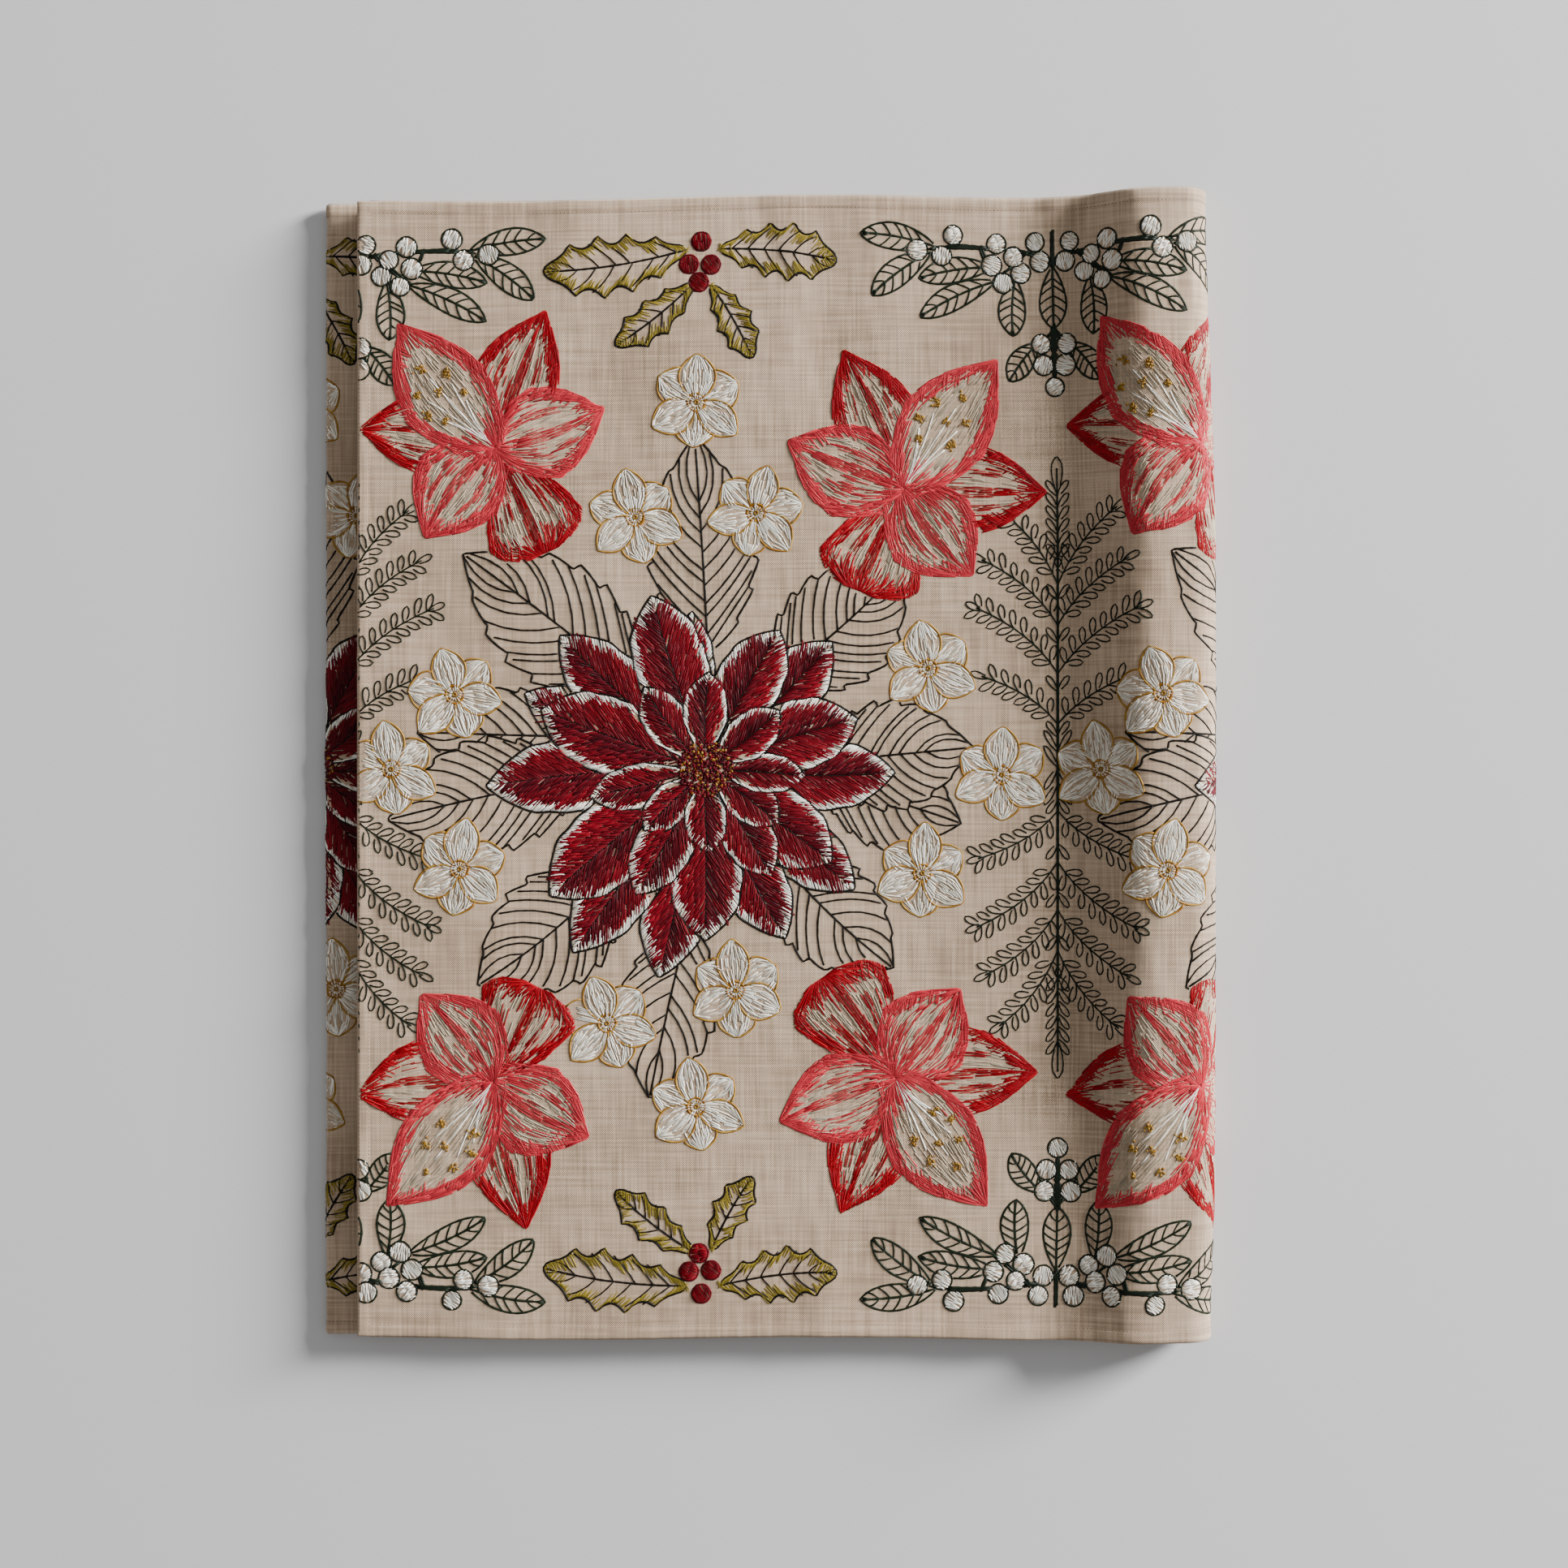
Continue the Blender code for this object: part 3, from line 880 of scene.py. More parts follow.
class Petal:
    """A petal or leaf: f runs from its base to its tip, g from -1 to 1 across it."""

    def __init__(self, base, tip, width, root=0.8, point=0.9, bow=0.0, full=3.0,
                 spines=0, bite=0.0, saw=0):
        self.base, tip = np.asarray(base, float), np.asarray(tip, float)
        self.reach = float(np.linalg.norm(tip - self.base))
        self.along = (tip - self.base) / self.reach
        self.across = turned(self.along)
        self.half, self.root, self.point, self.bow = width / 2, root, point, bow
        self.full, self.spines, self.bite, self.saw = full, spines, bite, saw
        self.widest = self.swell(np.linspace(0, 1, 101)).max()

    def swell(self, f):
        """How wide it is along its length, before it is scaled to its width."""
        return f**self.root * (1 - f**self.full) ** self.point

    def half_width(self, f):
        return self.half * self.swell(np.clip(f, 0, 1)) / self.widest

    def middle(self, f):
        """Its middle line, bowed to one side."""
        f = np.asarray(f, float)[..., None]
        bend = self.bow * self.reach * 4 * f * (1 - f)
        return self.base + self.along * f * self.reach + self.across * bend

    def at(self, f, g):
        """The point f along and g across."""
        f, g = np.broadcast_arrays(np.asarray(f, float), np.asarray(g, float))
        return self.middle(f) + self.across * (g * self.half_width(f))[..., None]

    def off(self, a, c):
        """The point a along the middle line and c to its side, in millimetres."""
        a, c = np.broadcast_arrays(np.asarray(a, float), np.asarray(c, float))
        return self.middle(a / self.reach) + self.across * c[..., None]

    def edge(self, f):
        """How much of the half width is left between the spines."""
        if self.saw:
            return 1 + self.bite * (np.mod(self.saw * f, 1) - 0.6)
        if self.spines:
            return 1 - self.bite * np.abs(np.sin(np.pi * self.spines * f)) ** 0.7
        return 1.0 + self.bite * np.sin(f * 17) + 0.6 * self.bite * np.sin(f * 41 + 1)

    def side(self, g, count):
        f = np.linspace(0.0, 1, count)
        return self.at(f, g * self.edge(f))

    def outline(self, count=26):
        return np.vstack([self.side(1, count), self.side(-1, count)[-2:0:-1]])


class Drawing:
    """Every stitch of one repeat. What is drawn first lies over what is drawn later."""

    def __init__(self):
        self.random = np.random.default_rng(11)
        self.stitches = {name: [] for name in THREADS}
        self.lines = {name: [] for name in THREADS}
        self.covers = []
        self.repeat = cloth_sizes().repeat / MM

    def cover(self, outline):
        """Hides what is drawn later inside this outline, here and in the next repeats."""
        for shift in (-self.repeat, 0, self.repeat):
            moved = outline + (shift, 0)
            low, high = moved.min(0), moved.max(0)
            if high[0] > -self.repeat / 2 - 60 and low[0] < self.repeat / 2 + 60:
                self.covers.append((low, high, moved))

    def hidden(self, points):
        """Which of the points lie under what is already drawn."""
        found = np.zeros(len(points), bool)
        for low, high, outline in self.covers:
            near = np.flatnonzero(((points > low) & (points < high)).all(1) & ~found)
            if len(near):
                found[near] = inside(points[near], outline)
        return found

    def jitter(self, like, size):
        return self.random.normal(0, size, np.shape(like))

    def chance(self, like):
        return self.random.random(np.shape(like))

    def fill(self, name, a, b, tone, width=1.0, rise=1.0):
        """Filling stitches from a to b."""
        a, b = a.reshape(-1, 2), b.reshape(-1, 2)
        parts = [np.broadcast_to(np.ravel(v), len(a)) for v in (width, rise, tone)]
        rows = np.column_stack([a, b, *parts])
        hidden = self.hidden(a + (b - a) * 0.5) | self.hidden(a + (b - a) * 0.9)
        self.stitches[name].append(rows[~hidden])

    def line(self, name, points, width=1.0, tone=0.5, step=1.7):
        """An outline stitch along the points."""
        points = resampled(points, step)
        linked = ~self.hidden((points[1:] + points[:-1]) / 2)
        ends = np.concatenate([linked, [False]])
        wide = np.full(len(points), width) * (1 + 0.10 * (-1.0) ** np.arange(len(points)))
        tones = tone + self.jitter(wide, 0.12)
        self.lines[name].append(np.column_stack([points, wide, tones, ends]))

    # Fillings

    def grid(self, first, last, pitch, shake=0.3):
        """Places this far apart, each a little off."""
        places = np.arange(first, last, pitch)
        return places + self.jitter(places, shake * pitch)

    def feather(self, petal, name, margin, slant, tone, spikes, rows=4.4):
        """Slanted long-and-short stitches from the middle line out to the margin."""
        for side in (-1, 1):
            for tier in np.arange(0, 2.3 * petal.half, rows):
                a = self.grid(-6, petal.reach - 1.5, 0.68)
                c = tier * math.sin(slant) + self.jitter(a, 0.25)
                a = a + tier * math.cos(slant)
                reach = rows * (1.5 + 0.3 * self.jitter(a, 1))
                tooth = np.mod(spikes * (a + 0.8 * rows) / petal.reach + 0.2 * side, 1)
                rim = margin * (1.55 - 1.1 * tooth + self.jitter(a, 0.12))
                room = petal.half_width((a + 1.5) / petal.reach) - rim - c
                reach = np.minimum(reach, np.minimum(room / math.sin(slant),
                                                     petal.reach - 1.15 * rim - a))
                end_a, end_c = a + reach * math.cos(slant), c + reach * math.sin(slant)
                keep = (a > 0.2) & (reach > 1.0)
                depth = np.clip(c / petal.half, 0, 1)
                shade = tone + 0.6 * depth - 0.1 * side + self.jitter(a, 0.12)
                start = petal.off(a[keep], side * c[keep])
                end = petal.off(end_a[keep], side * end_c[keep])
                self.fill(name, start, end, shade[keep], 1.65 + self.jitter(a[keep], 0.1),
                          1.15)

    def margin(self, petal, name, reach, slant, tone, pitch=0.6, spread=0.35, first=0.06):
        """Stitches from the outline inwards, long and short by turns."""
        for side in (-1, 1):
            f = self.grid(first * petal.reach, petal.reach, pitch) / petal.reach
            f = np.clip(f, 0, 0.995)
            start = petal.at(f, side * petal.edge(f) * 0.985)
            span = reach * (1 + spread * self.random.uniform(-1, 1, len(f)))
            span = np.minimum(span, petal.half_width(f) * 1.3 + 1.2)
            angle = slant + self.jitter(f, 0.06)
            end = start - petal.along * (span * np.cos(angle))[:, None]
            end -= petal.across * (side * span * np.sin(angle))[:, None]
            self.fill(name, start, end, tone + self.jitter(f, 0.16), 1 + self.jitter(f, 0.08))

    def lengthwise(self, petal, pitch, reach, first=0.04):
        """Stitches that run with the petal: (f of start, f of end, g, distance in from the edge)."""
        count = int(2 * petal.half / pitch)
        f0, f1, g = [], [], []
        for i in range(count):
            across = (i + 0.5) / count * 2 - 1
            starts = np.arange(first - self.random.random() * reach / petal.reach, 0.98,
                               0.86 * reach / petal.reach)
            f0.append(starts)
            f1.append(starts + reach / petal.reach * (1 + self.jitter(starts, 0.16)))
            g.append(np.full(len(starts), across) + self.jitter(starts, 0.25 / count))
        f0, f1, g = (np.concatenate(v) for v in (f0, f1, g))
        f0, f1 = np.clip(f0, 0.01, 0.97), np.clip(f1, 0.03, 0.99)
        middle = (f0 + f1) / 2
        narrow = petal.half_width(middle) / petal.half
        keep = (self.chance(g) < narrow * 1.15 + 0.12) & (f1 - f0 > 0.02)
        f0, f1, g, middle = f0[keep], f1[keep], g[keep], middle[keep]
        inset = np.minimum(
            (1 - np.abs(g)) * petal.half_width(middle), (1 - middle) * petal.reach * 0.6
        )
        return f0, f1, g, inset

    def disc(self, name, centre, radius, tone, turn, pitch, loose, rise):
        """A round berry of side-by-side stitches."""
        c = self.grid(-radius + 0.2, radius - 0.1, pitch, 0.12)
        half = np.sqrt(np.maximum(radius**2 - c**2, 0.04))
        along = heading(turn + self.jitter(c, loose))
        across = turned(heading(turn))
        middle = np.asarray(centre) + c[:, None] * across
        for part in (-1, 1):
            start = middle - along * (half * (0.25 + 0.1 * self.jitter(c, 1)))[:, None] * part
            end = middle + along * half[:, None] * part
            lit = tone + 0.25 * (c / radius) + self.jitter(c, 0.12)
            self.fill(name, start, end, lit, 1.25, rise)

    def veins(self, petal, name, count, inner, outer, width, lean, first=0.16, last=0.9):
        """Side veins from near the middle line to the edge, bent towards the tip."""
        for side in (-1, 1):
            for f in np.linspace(first, last, count) + self.jitter(range(count), 0.012):
                a = petal.at(f, side * inner)
                c = petal.at(min(f + lean, 0.985), side * outer)
                b = petal.at(f + 0.4 * lean, side * (inner * 0.4 + outer * 0.6))
                self.line(name, curve(a, b, c, count=5), width)

    def sketched(self, petal, name, width, midrib):
        """A leaf of outline, midrib and side veins only."""
        self.line(name, petal.outline(30), width)
        self.line(name, petal.middle(np.linspace(0, 0.97, 14)), midrib)
        self.veins(petal, name, 6, 0.02, 0.96, 0.8 * width, 0.13)


# Petals of the big flower: tip and width, the front ones first
POINSETTIA = (
    ((2.3, 37.8), 17), ((30.4, 22.6), 17), ((40.7, -3.2), 15), ((2.3, -33.9), 16),
    ((30.1, -22.0), 17), ((-23.3, -24.9), 15), ((-44.9, -11.6), 17), ((-23.3, 31.7), 17),
    ((27.2, -43.0), 20), ((-26.5, -50.4), 22), ((-20.4, 67.9), 28), ((-64.0, 23.0), 29),
    ((61.1, 19.4), 27), ((51.1, -37.5), 27), ((1.0, -68.5), 28), ((-60.5, -50.8), 31),
    ((30.4, 54.3), 25), ((-85.7, -7.4), 28), ((76.0, -1.9), 26), ((-51.4, -73.1), 27),
    ((-17.5, -83.1), 26), ((32.7, -67.6), 25), ((60.1, -48.2), 25), ((51.1, 49.8), 25),
    ((-56.6, 52.1), 26), ((-4.5, 61.8), 17), ((-70.5, 29.4), 24),
)
KNOTS = 640  # little knots in its heart
# Sketched leaves behind it: base, tip, width
LEAVES = (
    ((-24, 30), (-94.7, 84.7), 44), ((2, 46), (-3.2, 131.0), 40), ((28, 34), (79.9, 79.9), 42),
    ((44, 2), (107.0, 8.0), 40), ((48, -6), (102.0, -22.0), 36), ((30, -36), (75.3, -79.2), 38),
    ((-6, -62), (-21.0, -130.6), 36), ((-34, -40), (-88.9, -86.0), 42),
    ((-48, -4), (-124.5, -20.7), 42), ((-44, 12), (-113.0, 14.0), 34),
)
# Trumpet flowers: centre, then petals as tip, width, kind
CORAL, SCARLET, LOBED, STAMENS = "coral", "scarlet", "lobed", "stamens"
AMARYLLIS = (
    (
        (-82.4, 127.4),
        ((-120.6, 177.2), 31, STAMENS), ((-38.5, 142.6), 31, CORAL), ((-109.9, 90.5), 31, CORAL),
        ((-61.8, 182.0), 27, SCARLET), ((-61.8, 84.1), 33, LOBED), ((-136.4, 134.5), 27, SCARLET),
    ),
    (
        (79.2, 110.2),
        ((117.0, 161.3), 31, STAMENS), ((106.7, 75.3), 31, CORAL), ((33.0, 129.0), 31, CORAL),
        ((55.0, 165.2), 27, SCARLET), ((61.4, 68.9), 35, LOBED), ((136.4, 108.6), 28, SCARLET),
    ),
    (
        (-83.1, -124.1),
        ((-125.1, -173.6), 31, STAMENS), ((-44.6, -146.1), 31, CORAL), ((-111.5, -89.2), 30, CORAL),
        ((-69.5, -182.3), 27, SCARLET), ((-64.7, -86.0), 33, LOBED), ((-137.4, -129.0), 27, SCARLET),
    ),
    (
        (76.0, -122.5),
        ((112.5, -173.3), 31, STAMENS), ((29.7, -139.7), 30, CORAL), ((101.8, -87.0), 31, CORAL),
        ((54.3, -176.5), 27, SCARLET), ((46.9, -82.1), 35, LOBED), ((132.6, -120.3), 28, SCARLET),
    ),
)
# Small white flowers: centre and turn in degrees
NARCISSI = (
    (-2.6, 144.2, 85), (-26.8, 98.9, 100), (21.0, 100.5, 75), (-98.0, 28.8, 110),
    (-122.9, -0.6, 95), (-96.0, -40.1, 80), (88.9, 39.1, 98), (118.0, -2.9, 88),
    (86.6, -41.7, 84), (12.9, -87.9, 92), (-37.8, -100.9, 105), (-2.6, -133.8, 97),
)
# Spiny leaves above the middle: base, tip, width, spines
HOLLY = (
    ((-6.5, 204.5), (-63.0, 197.0), 27, 5), ((7.0, 204.5), (53.0, 199.5), 25, 5),
    ((-4.0, 191.0), (-34.5, 167.0), 18, 4), ((3.5, 190.0), (19.6, 161.5), 17, 4),
)
HOLLY_BERRIES = ((-0.6, 207.6), (-5.5, 198.8), (3.2, 198.4), (-1.6, 191.6))
# One half of the white-berried sprig, from its axis: leaves as base and tip, then berries
SPRIG_LEAVES = (
    ((48.0, 205.5), (78.0, 210.3), 10.5), ((50.0, 203.5), (73.5, 186.0), 10.5),
    ((25.0, 197.5), (55.0, 193.0), 10.0), ((24.0, 192.0), (54.5, 177.6), 10.0),
    ((15.5, 193.0), (16.5, 170.2), 11.0), ((6.5, 167.5), (18.5, 152.3), 10.0),
)
SPRIG_BERRIES = (
    (7.2, 207.6), (5.2, 199.9), (16.2, 201.8), (23.2, 207.0), (13.2, 195.4), (25.2, 198.4),
    (20.6, 191.4), (41.0, 210.2), (45.6, 202.0), (55.4, 204.2), (5.2, 167.0), (4.4, 158.6),
)
# Side branches of the fir: where each leaves the spine, then its tip
FIR_BRANCHES = ((21, 31, 36), (41, 33, 63), (60, 29, 82), (76, 24, 102))


def draw_poinsettia(draw):
    random = draw.random
    centre = np.array([1.0, -0.6])
    for _ in range(KNOTS):
        reach = 11.0 * math.sqrt(random.random())
        at = centre + reach * heading(random.uniform(0, 2 * np.pi))
        step = 0.85 * heading(random.uniform(0, np.pi))
        name = "gold" if random.random() < 0.16 else "crimson"
        tone = random.uniform(-0.1, 0.45)
        draw.fill(name, (at - step)[None], (at + step)[None], tone, 2.5,
                  random.uniform(1.3, 2.4))
    draw.cover(ring(centre, 10.2))
    for tip, width in POINSETTIA:
        tip = np.array(tip)
        base = centre + (tip - centre) * 0.06
        bow = random.uniform(-0.03, 0.03)
        petal = Petal(base, tip, 1.06 * width, 1.0, 0.95, bow, 2.3, bite=0.035)
        draw.line("ink", petal.outline(30), 1.1, 0.3)
        draw.line("ink", petal.middle(np.linspace(0.1, 0.9, 12)), 0.9, 0.2)
        big = width > 20
        veins = 8 if big else 5
        draw.veins(petal, "ink", veins, 0.12, 0.97, 0.6, 0.13, 0.22)
        edge = 2.8 if big else 1.9
        draw.feather(petal, "crimson", edge, math.radians(33), 0.24, 5.5 if big else 3.5)
        draw.margin(petal, "ivory", edge * 1.75, math.radians(36), 0.8, pitch=0.6)
        draw.cover(petal.outline(18))


def draw_amaryllis(draw):
    random = draw.random
    for centre, *petals in AMARYLLIS:
        centre = np.array(centre)
        rays = heading(random.uniform(0, 2 * np.pi, 44))
        reach = random.uniform(2.5, 7.0, (44, 1))
        lit = 0.3 * rays[:, 0] + 0.35
        draw.fill("coral", centre + 0.2 * rays, centre + reach * rays, lit, 1.2)
        for tip, width, kind in petals:
            tip = np.array(tip)
            base = centre - (tip - centre) * 0.015
            bow = random.uniform(-0.05, 0.05)
            root, point, full = (0.8, 0.6, 7.0) if kind == LOBED else (0.64, 1.18, 2.0)
            wide = (1.28 if kind == SCARLET else 1.2) * width
            petal = Petal(base, tip, wide, root, point, bow, full, bite=0.03)
            if kind == STAMENS:
                draw_stamens(draw, petal)
            name = "coral" if kind in (CORAL, STAMENS) else "scarlet"
            striped_petal(draw, petal, name, kind)
            draw.cover(petal.outline(20))


def striped_petal(draw, petal, name, kind):
    """A trumpet petal: a dense margin, then pale threads with stripes of the colour."""
    f0, f1, g, inset = draw.lengthwise(petal, 0.56, 7.0)
    middle = (f0 + f1) / 2
    rim = 5.2 * (1 + draw.jitter(g, 0.22))
    throat = middle < 0.16 + draw.jitter(g, 0.03)
    in_rim = (inset < rim) | (throat & (draw.chance(g) < 0.85))
    chance = draw.chance(g)
    # A stripe down the middle, one on each side of it, and rays from the throat
    band = np.abs(g + 0.06) < 0.15 - 0.06 * middle
    beside = (np.abs(np.abs(g) - 0.42) < 0.09) & (middle < 0.66) & (chance < 0.7)
    rays = (middle < 0.46) & (chance < 0.3)
    stripe = ~in_rim & (band | beside | rays) & (kind != STAMENS)
    pale = ~in_rim & ~stripe & (draw.chance(g) < 0.4)
    for chosen, thread_name, tone, width in (
        (in_rim, name, 0.45, 1.15),
        (stripe, name, 0.4, 0.85),
        (pale, "pale_green", 0.55, 0.7),
    ):
        start = petal.at(f0[chosen], g[chosen])
        end = petal.at(f1[chosen], g[chosen])
        shade = tone + draw.jitter(g[chosen], 0.2)
        draw.fill(thread_name, start, end, shade, width)
    draw.margin(petal, name, 5.4, math.radians(26), 0.5, pitch=0.5, spread=0.6)


def draw_stamens(draw, petal):
    """Pale filaments that fan out along a petal, each with a golden anther."""
    spots = ((0.68, 0.1), (0.56, 0.49), (0.42, 0.57), (0.5, 0.05), (0.56, -0.31), (0.32, 0.35),
             (0.4, -0.33))
    for f, g in spots:
        end = petal.at(f, g)
        for _ in range(24):
            step = draw.random.normal(0, 0.75, 2)
            lean = draw.random.normal(0, 0.7, 2)
            draw.fill("gold", (end + step)[None], (end + step + lean)[None],
                      draw.random.uniform(0.1, 0.6), 2.0, 2.2)
        draw.cover(ring(end, 1.6, 8))
        filament = curve(petal.at(0.03, 0), petal.at(f * 0.5, g * 0.25), end)
        draw.line("ivory", filament[:-1], 0.75, 0.8)


def draw_narcissi(draw):
    for u, v, turn in NARCISSI:
        centre = np.array([u, v])
        for radius, width in ((3.6, 1.6), (2.3, 1.3)):
            draw.line("gold", ring(centre, radius, 12), width, 0.15, 1.1)
        spokes = heading(np.linspace(0, 2 * np.pi, 15))
        draw.fill("ivory", centre + 1.0 * spokes, centre + 3.0 * spokes, 0.3, 1.0, 1.4)
        draw.fill("gold", centre + 0.2 * spokes, centre + 1.2 * spokes, 0.3, 1.0, 1.6)
        draw.cover(ring(centre, 3.3))
        for i in (0, 2, 4, 1, 3, 5):
            angle = math.radians(turn + 60 * i) + draw.random.uniform(-0.08, 0.08)
            reach = (19.8 if i % 2 == 0 else 18.2) + draw.random.uniform(-0.8, 0.8)
            tip = centre + reach * heading(angle)
            full, wide = (2.0, 13.6) if i % 2 == 0 else (3.2, 15.0)
            wide += draw.random.uniform(-1.2, 1.2)
            bow = draw.random.uniform(-0.04, 0.04)
            petal = Petal(centre, tip, wide, 0.75, 0.95, bow, full)
            draw.line("gold", petal.outline(14), 1.0, 0.3)
            f0, f1, g, inset = draw.lengthwise(petal, 0.62, 5.6, 0.16)
            streak = 0.5 + 0.5 * np.sin(g * 19 + i)
            keep = (draw.chance(g) < 0.45 + 0.55 * streak) & (np.abs(g) < 0.93)
            tone = 0.5 + draw.jitter(g, 0.3)
            draw.fill("ivory", petal.at(f0, g)[keep], petal.at(f1, g)[keep], tone[keep], 0.98)
            draw.cover(petal.outline(12))


def mirrored(point, flip):
    """The same point on the far half, where flip is 1, or on the near half."""
    return np.asarray(point, float) * (1, flip)


def beside_axis(draw, flip):
    """Gives points from their distance beside the line between two repeats."""
    return lambda u, v: mirrored((draw.repeat / 2 + u, v), flip)


def draw_holly(draw):
    for flip in (1, -1):
        for berry in HOLLY_BERRIES:
            at = mirrored(berry, flip)
            draw.fill("ink", at[None] - 0.5, at[None] + 0.5, 0.2, 1.6, 2.6)
            draw.disc("crimson", at, 3.7, 0.75, draw.random.uniform(0, 3), 0.6, 0.05, 2.0)
            draw.line("crimson", ring(at, 3.8, 12), 1.1, 0.2, 1.3)
            draw.cover(ring(at, 3.9))
        for base, tip, width, spines in HOLLY:
            petal = Petal(
                mirrored(base, flip), mirrored(tip, flip), width, 0.6, 0.75, 0.03,
                full=2.6, spines=spines, bite=0.36,
            )
            draw.line("ink", petal.outline(60), 1.15, 0.3)
            draw.line("ink", petal.middle(np.linspace(0, 0.98, 12)), 1.1, 0.3)
            draw.veins(petal, "ink", spines + 2, 0.03, 0.75, 0.8, 0.17, 0.1)
            draw.margin(petal, "olive", 4.2, math.radians(52), 0.5, pitch=0.6, spread=0.5, first=0.02)
            draw.margin(petal, "olive", 1.6, math.radians(60), 0.6, pitch=0.66, first=0.02)
            draw.cover(petal.outline(40))


def draw_sprig(draw):
    """The white-berried sprigs between two repeats, one at each side edge."""
    for flip in (1, -1):
        at = beside_axis(draw, flip)
        berries = [at(0, 150.0)]
        for side in (-1, 1):
            berries += [at(side * u, v) for u, v in SPRIG_BERRIES]
        for berry in berries:
            radius = 3.8 + draw.random.uniform(-0.2, 0.3)
            loose = draw.random.uniform(0, 3)
            draw.line("dark_green", ring(berry, radius + 0.2), 1.0, 0.3, 1.4)
            draw.disc("ivory", berry, radius - 0.15, 0.62, loose, 0.62, 0.22, 1.5)
            draw.cover(ring(berry, radius + 0.1))
        leaves = [Petal(at(0, 197.5), at(0, 173.0), 11.0, 0.7)]
        for side in (-1, 1):
            for base, tip, width in SPRIG_LEAVES:
                ends = (at(side * u, v) for u, v in (base, tip))
                leaves.append(Petal(*ends, width, 0.7, 0.85, side * flip * 0.04, 2.4))
        for petal in leaves:
            draw.sketched(petal, "dark_green", 1.15, 1.3)
            draw.cover(petal.outline(16))
        stems = [((0, 212), (0, 196)), ((0, 176), (0, 152))]
        for side in (-1, 1):
            stems += [
                ((0, 199), (side * 8, 205), (side * 18, 204), (side * 30, 206.5), (side * 50, 205)),
                ((side * 10, 204), (side * 18, 197), (side * 26, 191)),
                ((side * 26, 205), (side * 40, 206)),
                ((side * 4, 168), (0, 173)),
                ((side * 4, 158), (0, 163)),
                ((side * 30, 206), (side * 27, 198)),
            ]
        for stem in stems:
            line = curve(*(at(u, v) for u, v in stem), count=12)
            for shift in (-0.35, 0.35):
                draw.line("dark_green", line + shift, 1.6, 0.35)
    for shift in (-0.8, 0.0, 0.8):
        for flip in (1, -1):
            at = beside_axis(draw, flip)
            draw.line("dark_green", curve(at(shift, 164.0), at(shift, 176.0), count=6), 1.5, 0.4)


def draw_fir(draw):
    """The slim fir sprigs on the lines between two repeats."""
    axis = draw.repeat / 2
    for shift in (-0.45, 0.45):
        spine = ((axis, 118.0), (axis + shift, 0), (axis, -120.0))
        draw.line("dark_green", curve(*spine, count=30), 1.0, 0.3)
    for flip in (1, -1):
        at = beside_axis(draw, flip)
        loop(draw, at(0, 108), at(0, 123), 4.4)
        for v in (111, 106, 101, 96, 91, 86, 70, 53, 34, 16):
            for side in (-1, 1):
                loop(draw, at(0, v - 4), at(side * 4.6, v + 2.5), 2.3)
        for side in (-1, 1):
            for v in (8, 14):
                loop(draw, at(0, v - 8), at(side * 5.5, v + 1), 2.2)
        for start, out, end in FIR_BRANCHES:
            for side in (-1, 1):
                reach = side * (out + draw.random.uniform(-1, 1))
                bend = at(0.3 * reach, start + (end - start) * 0.55)
                branch = curve(at(0, start - 4), bend, at(reach, end), count=24)
                draw.line("dark_green", branch, 0.9, 0.35)
                needles(draw, branch)


def needles(draw, branch):
    """Pairs of needle loops along a branch and one at its tip."""
    line = resampled(branch, 1.0)
    along = tangents(line)
    lean = math.radians(50)
    for i in range(5, len(line) - 2, 5):
        for side in (-1, 1):
            leaning = along[i] * math.cos(lean) + side * math.sin(lean) * turned(along[i])
            reach = 7.4 + draw.random.uniform(-0.9, 0.7)
            loop(draw, line[i], line[i] + leaning * reach, 2.6)
    loop(draw, line[-1] - along[-1] * 3, line[-1] + along[-1] * 5.0, 2.6)


def loop(draw, base, tip, width):
    """One needle, as a thin closed loop."""
    petal = Petal(base, tip, width, 0.7, 0.7)
    draw.line("dark_green", petal.outline(6), 0.8, 0.2, 1.5)


def draw_leaves(draw):
    for base, tip, width in LEAVES:
        bow = draw.random.uniform(-0.04, 0.04)
        petal = Petal(base, tip, 1.08 * width, 0.6, 1.1, bow, 2.2, saw=7, bite=0.15)
        veins = 10 if width > 38 else 8
        draw.line("ink", petal.outline(71), 1.1, 0.3)
        draw.line("ink", petal.middle(np.linspace(0.0, 0.98, 14)), 1.1, 0.3)
        draw.veins(petal, "ink", veins, 0.01, 0.93, 0.95, 0.28, 0.0, 0.7)
        draw.cover(petal.outline(30))


@functools.cache
def drawing():
    """One repeat of the embroidery, the front motifs first."""
    draw = Drawing()
    for motif in (draw_poinsettia, draw_amaryllis, draw_narcissi, draw_holly, draw_sprig,
                  draw_fir, draw_leaves):
        motif(draw)
    return draw


REPEATS = range(-1, 6)  # those that reach onto the cloth


def on_cloth(s, t):
    """Whether places clear the cloth's edges."""
    return (s > 0.0007) & (s < LENGTH - 0.0007) & (np.abs(t) < HALF_WIDTH - 0.0015)


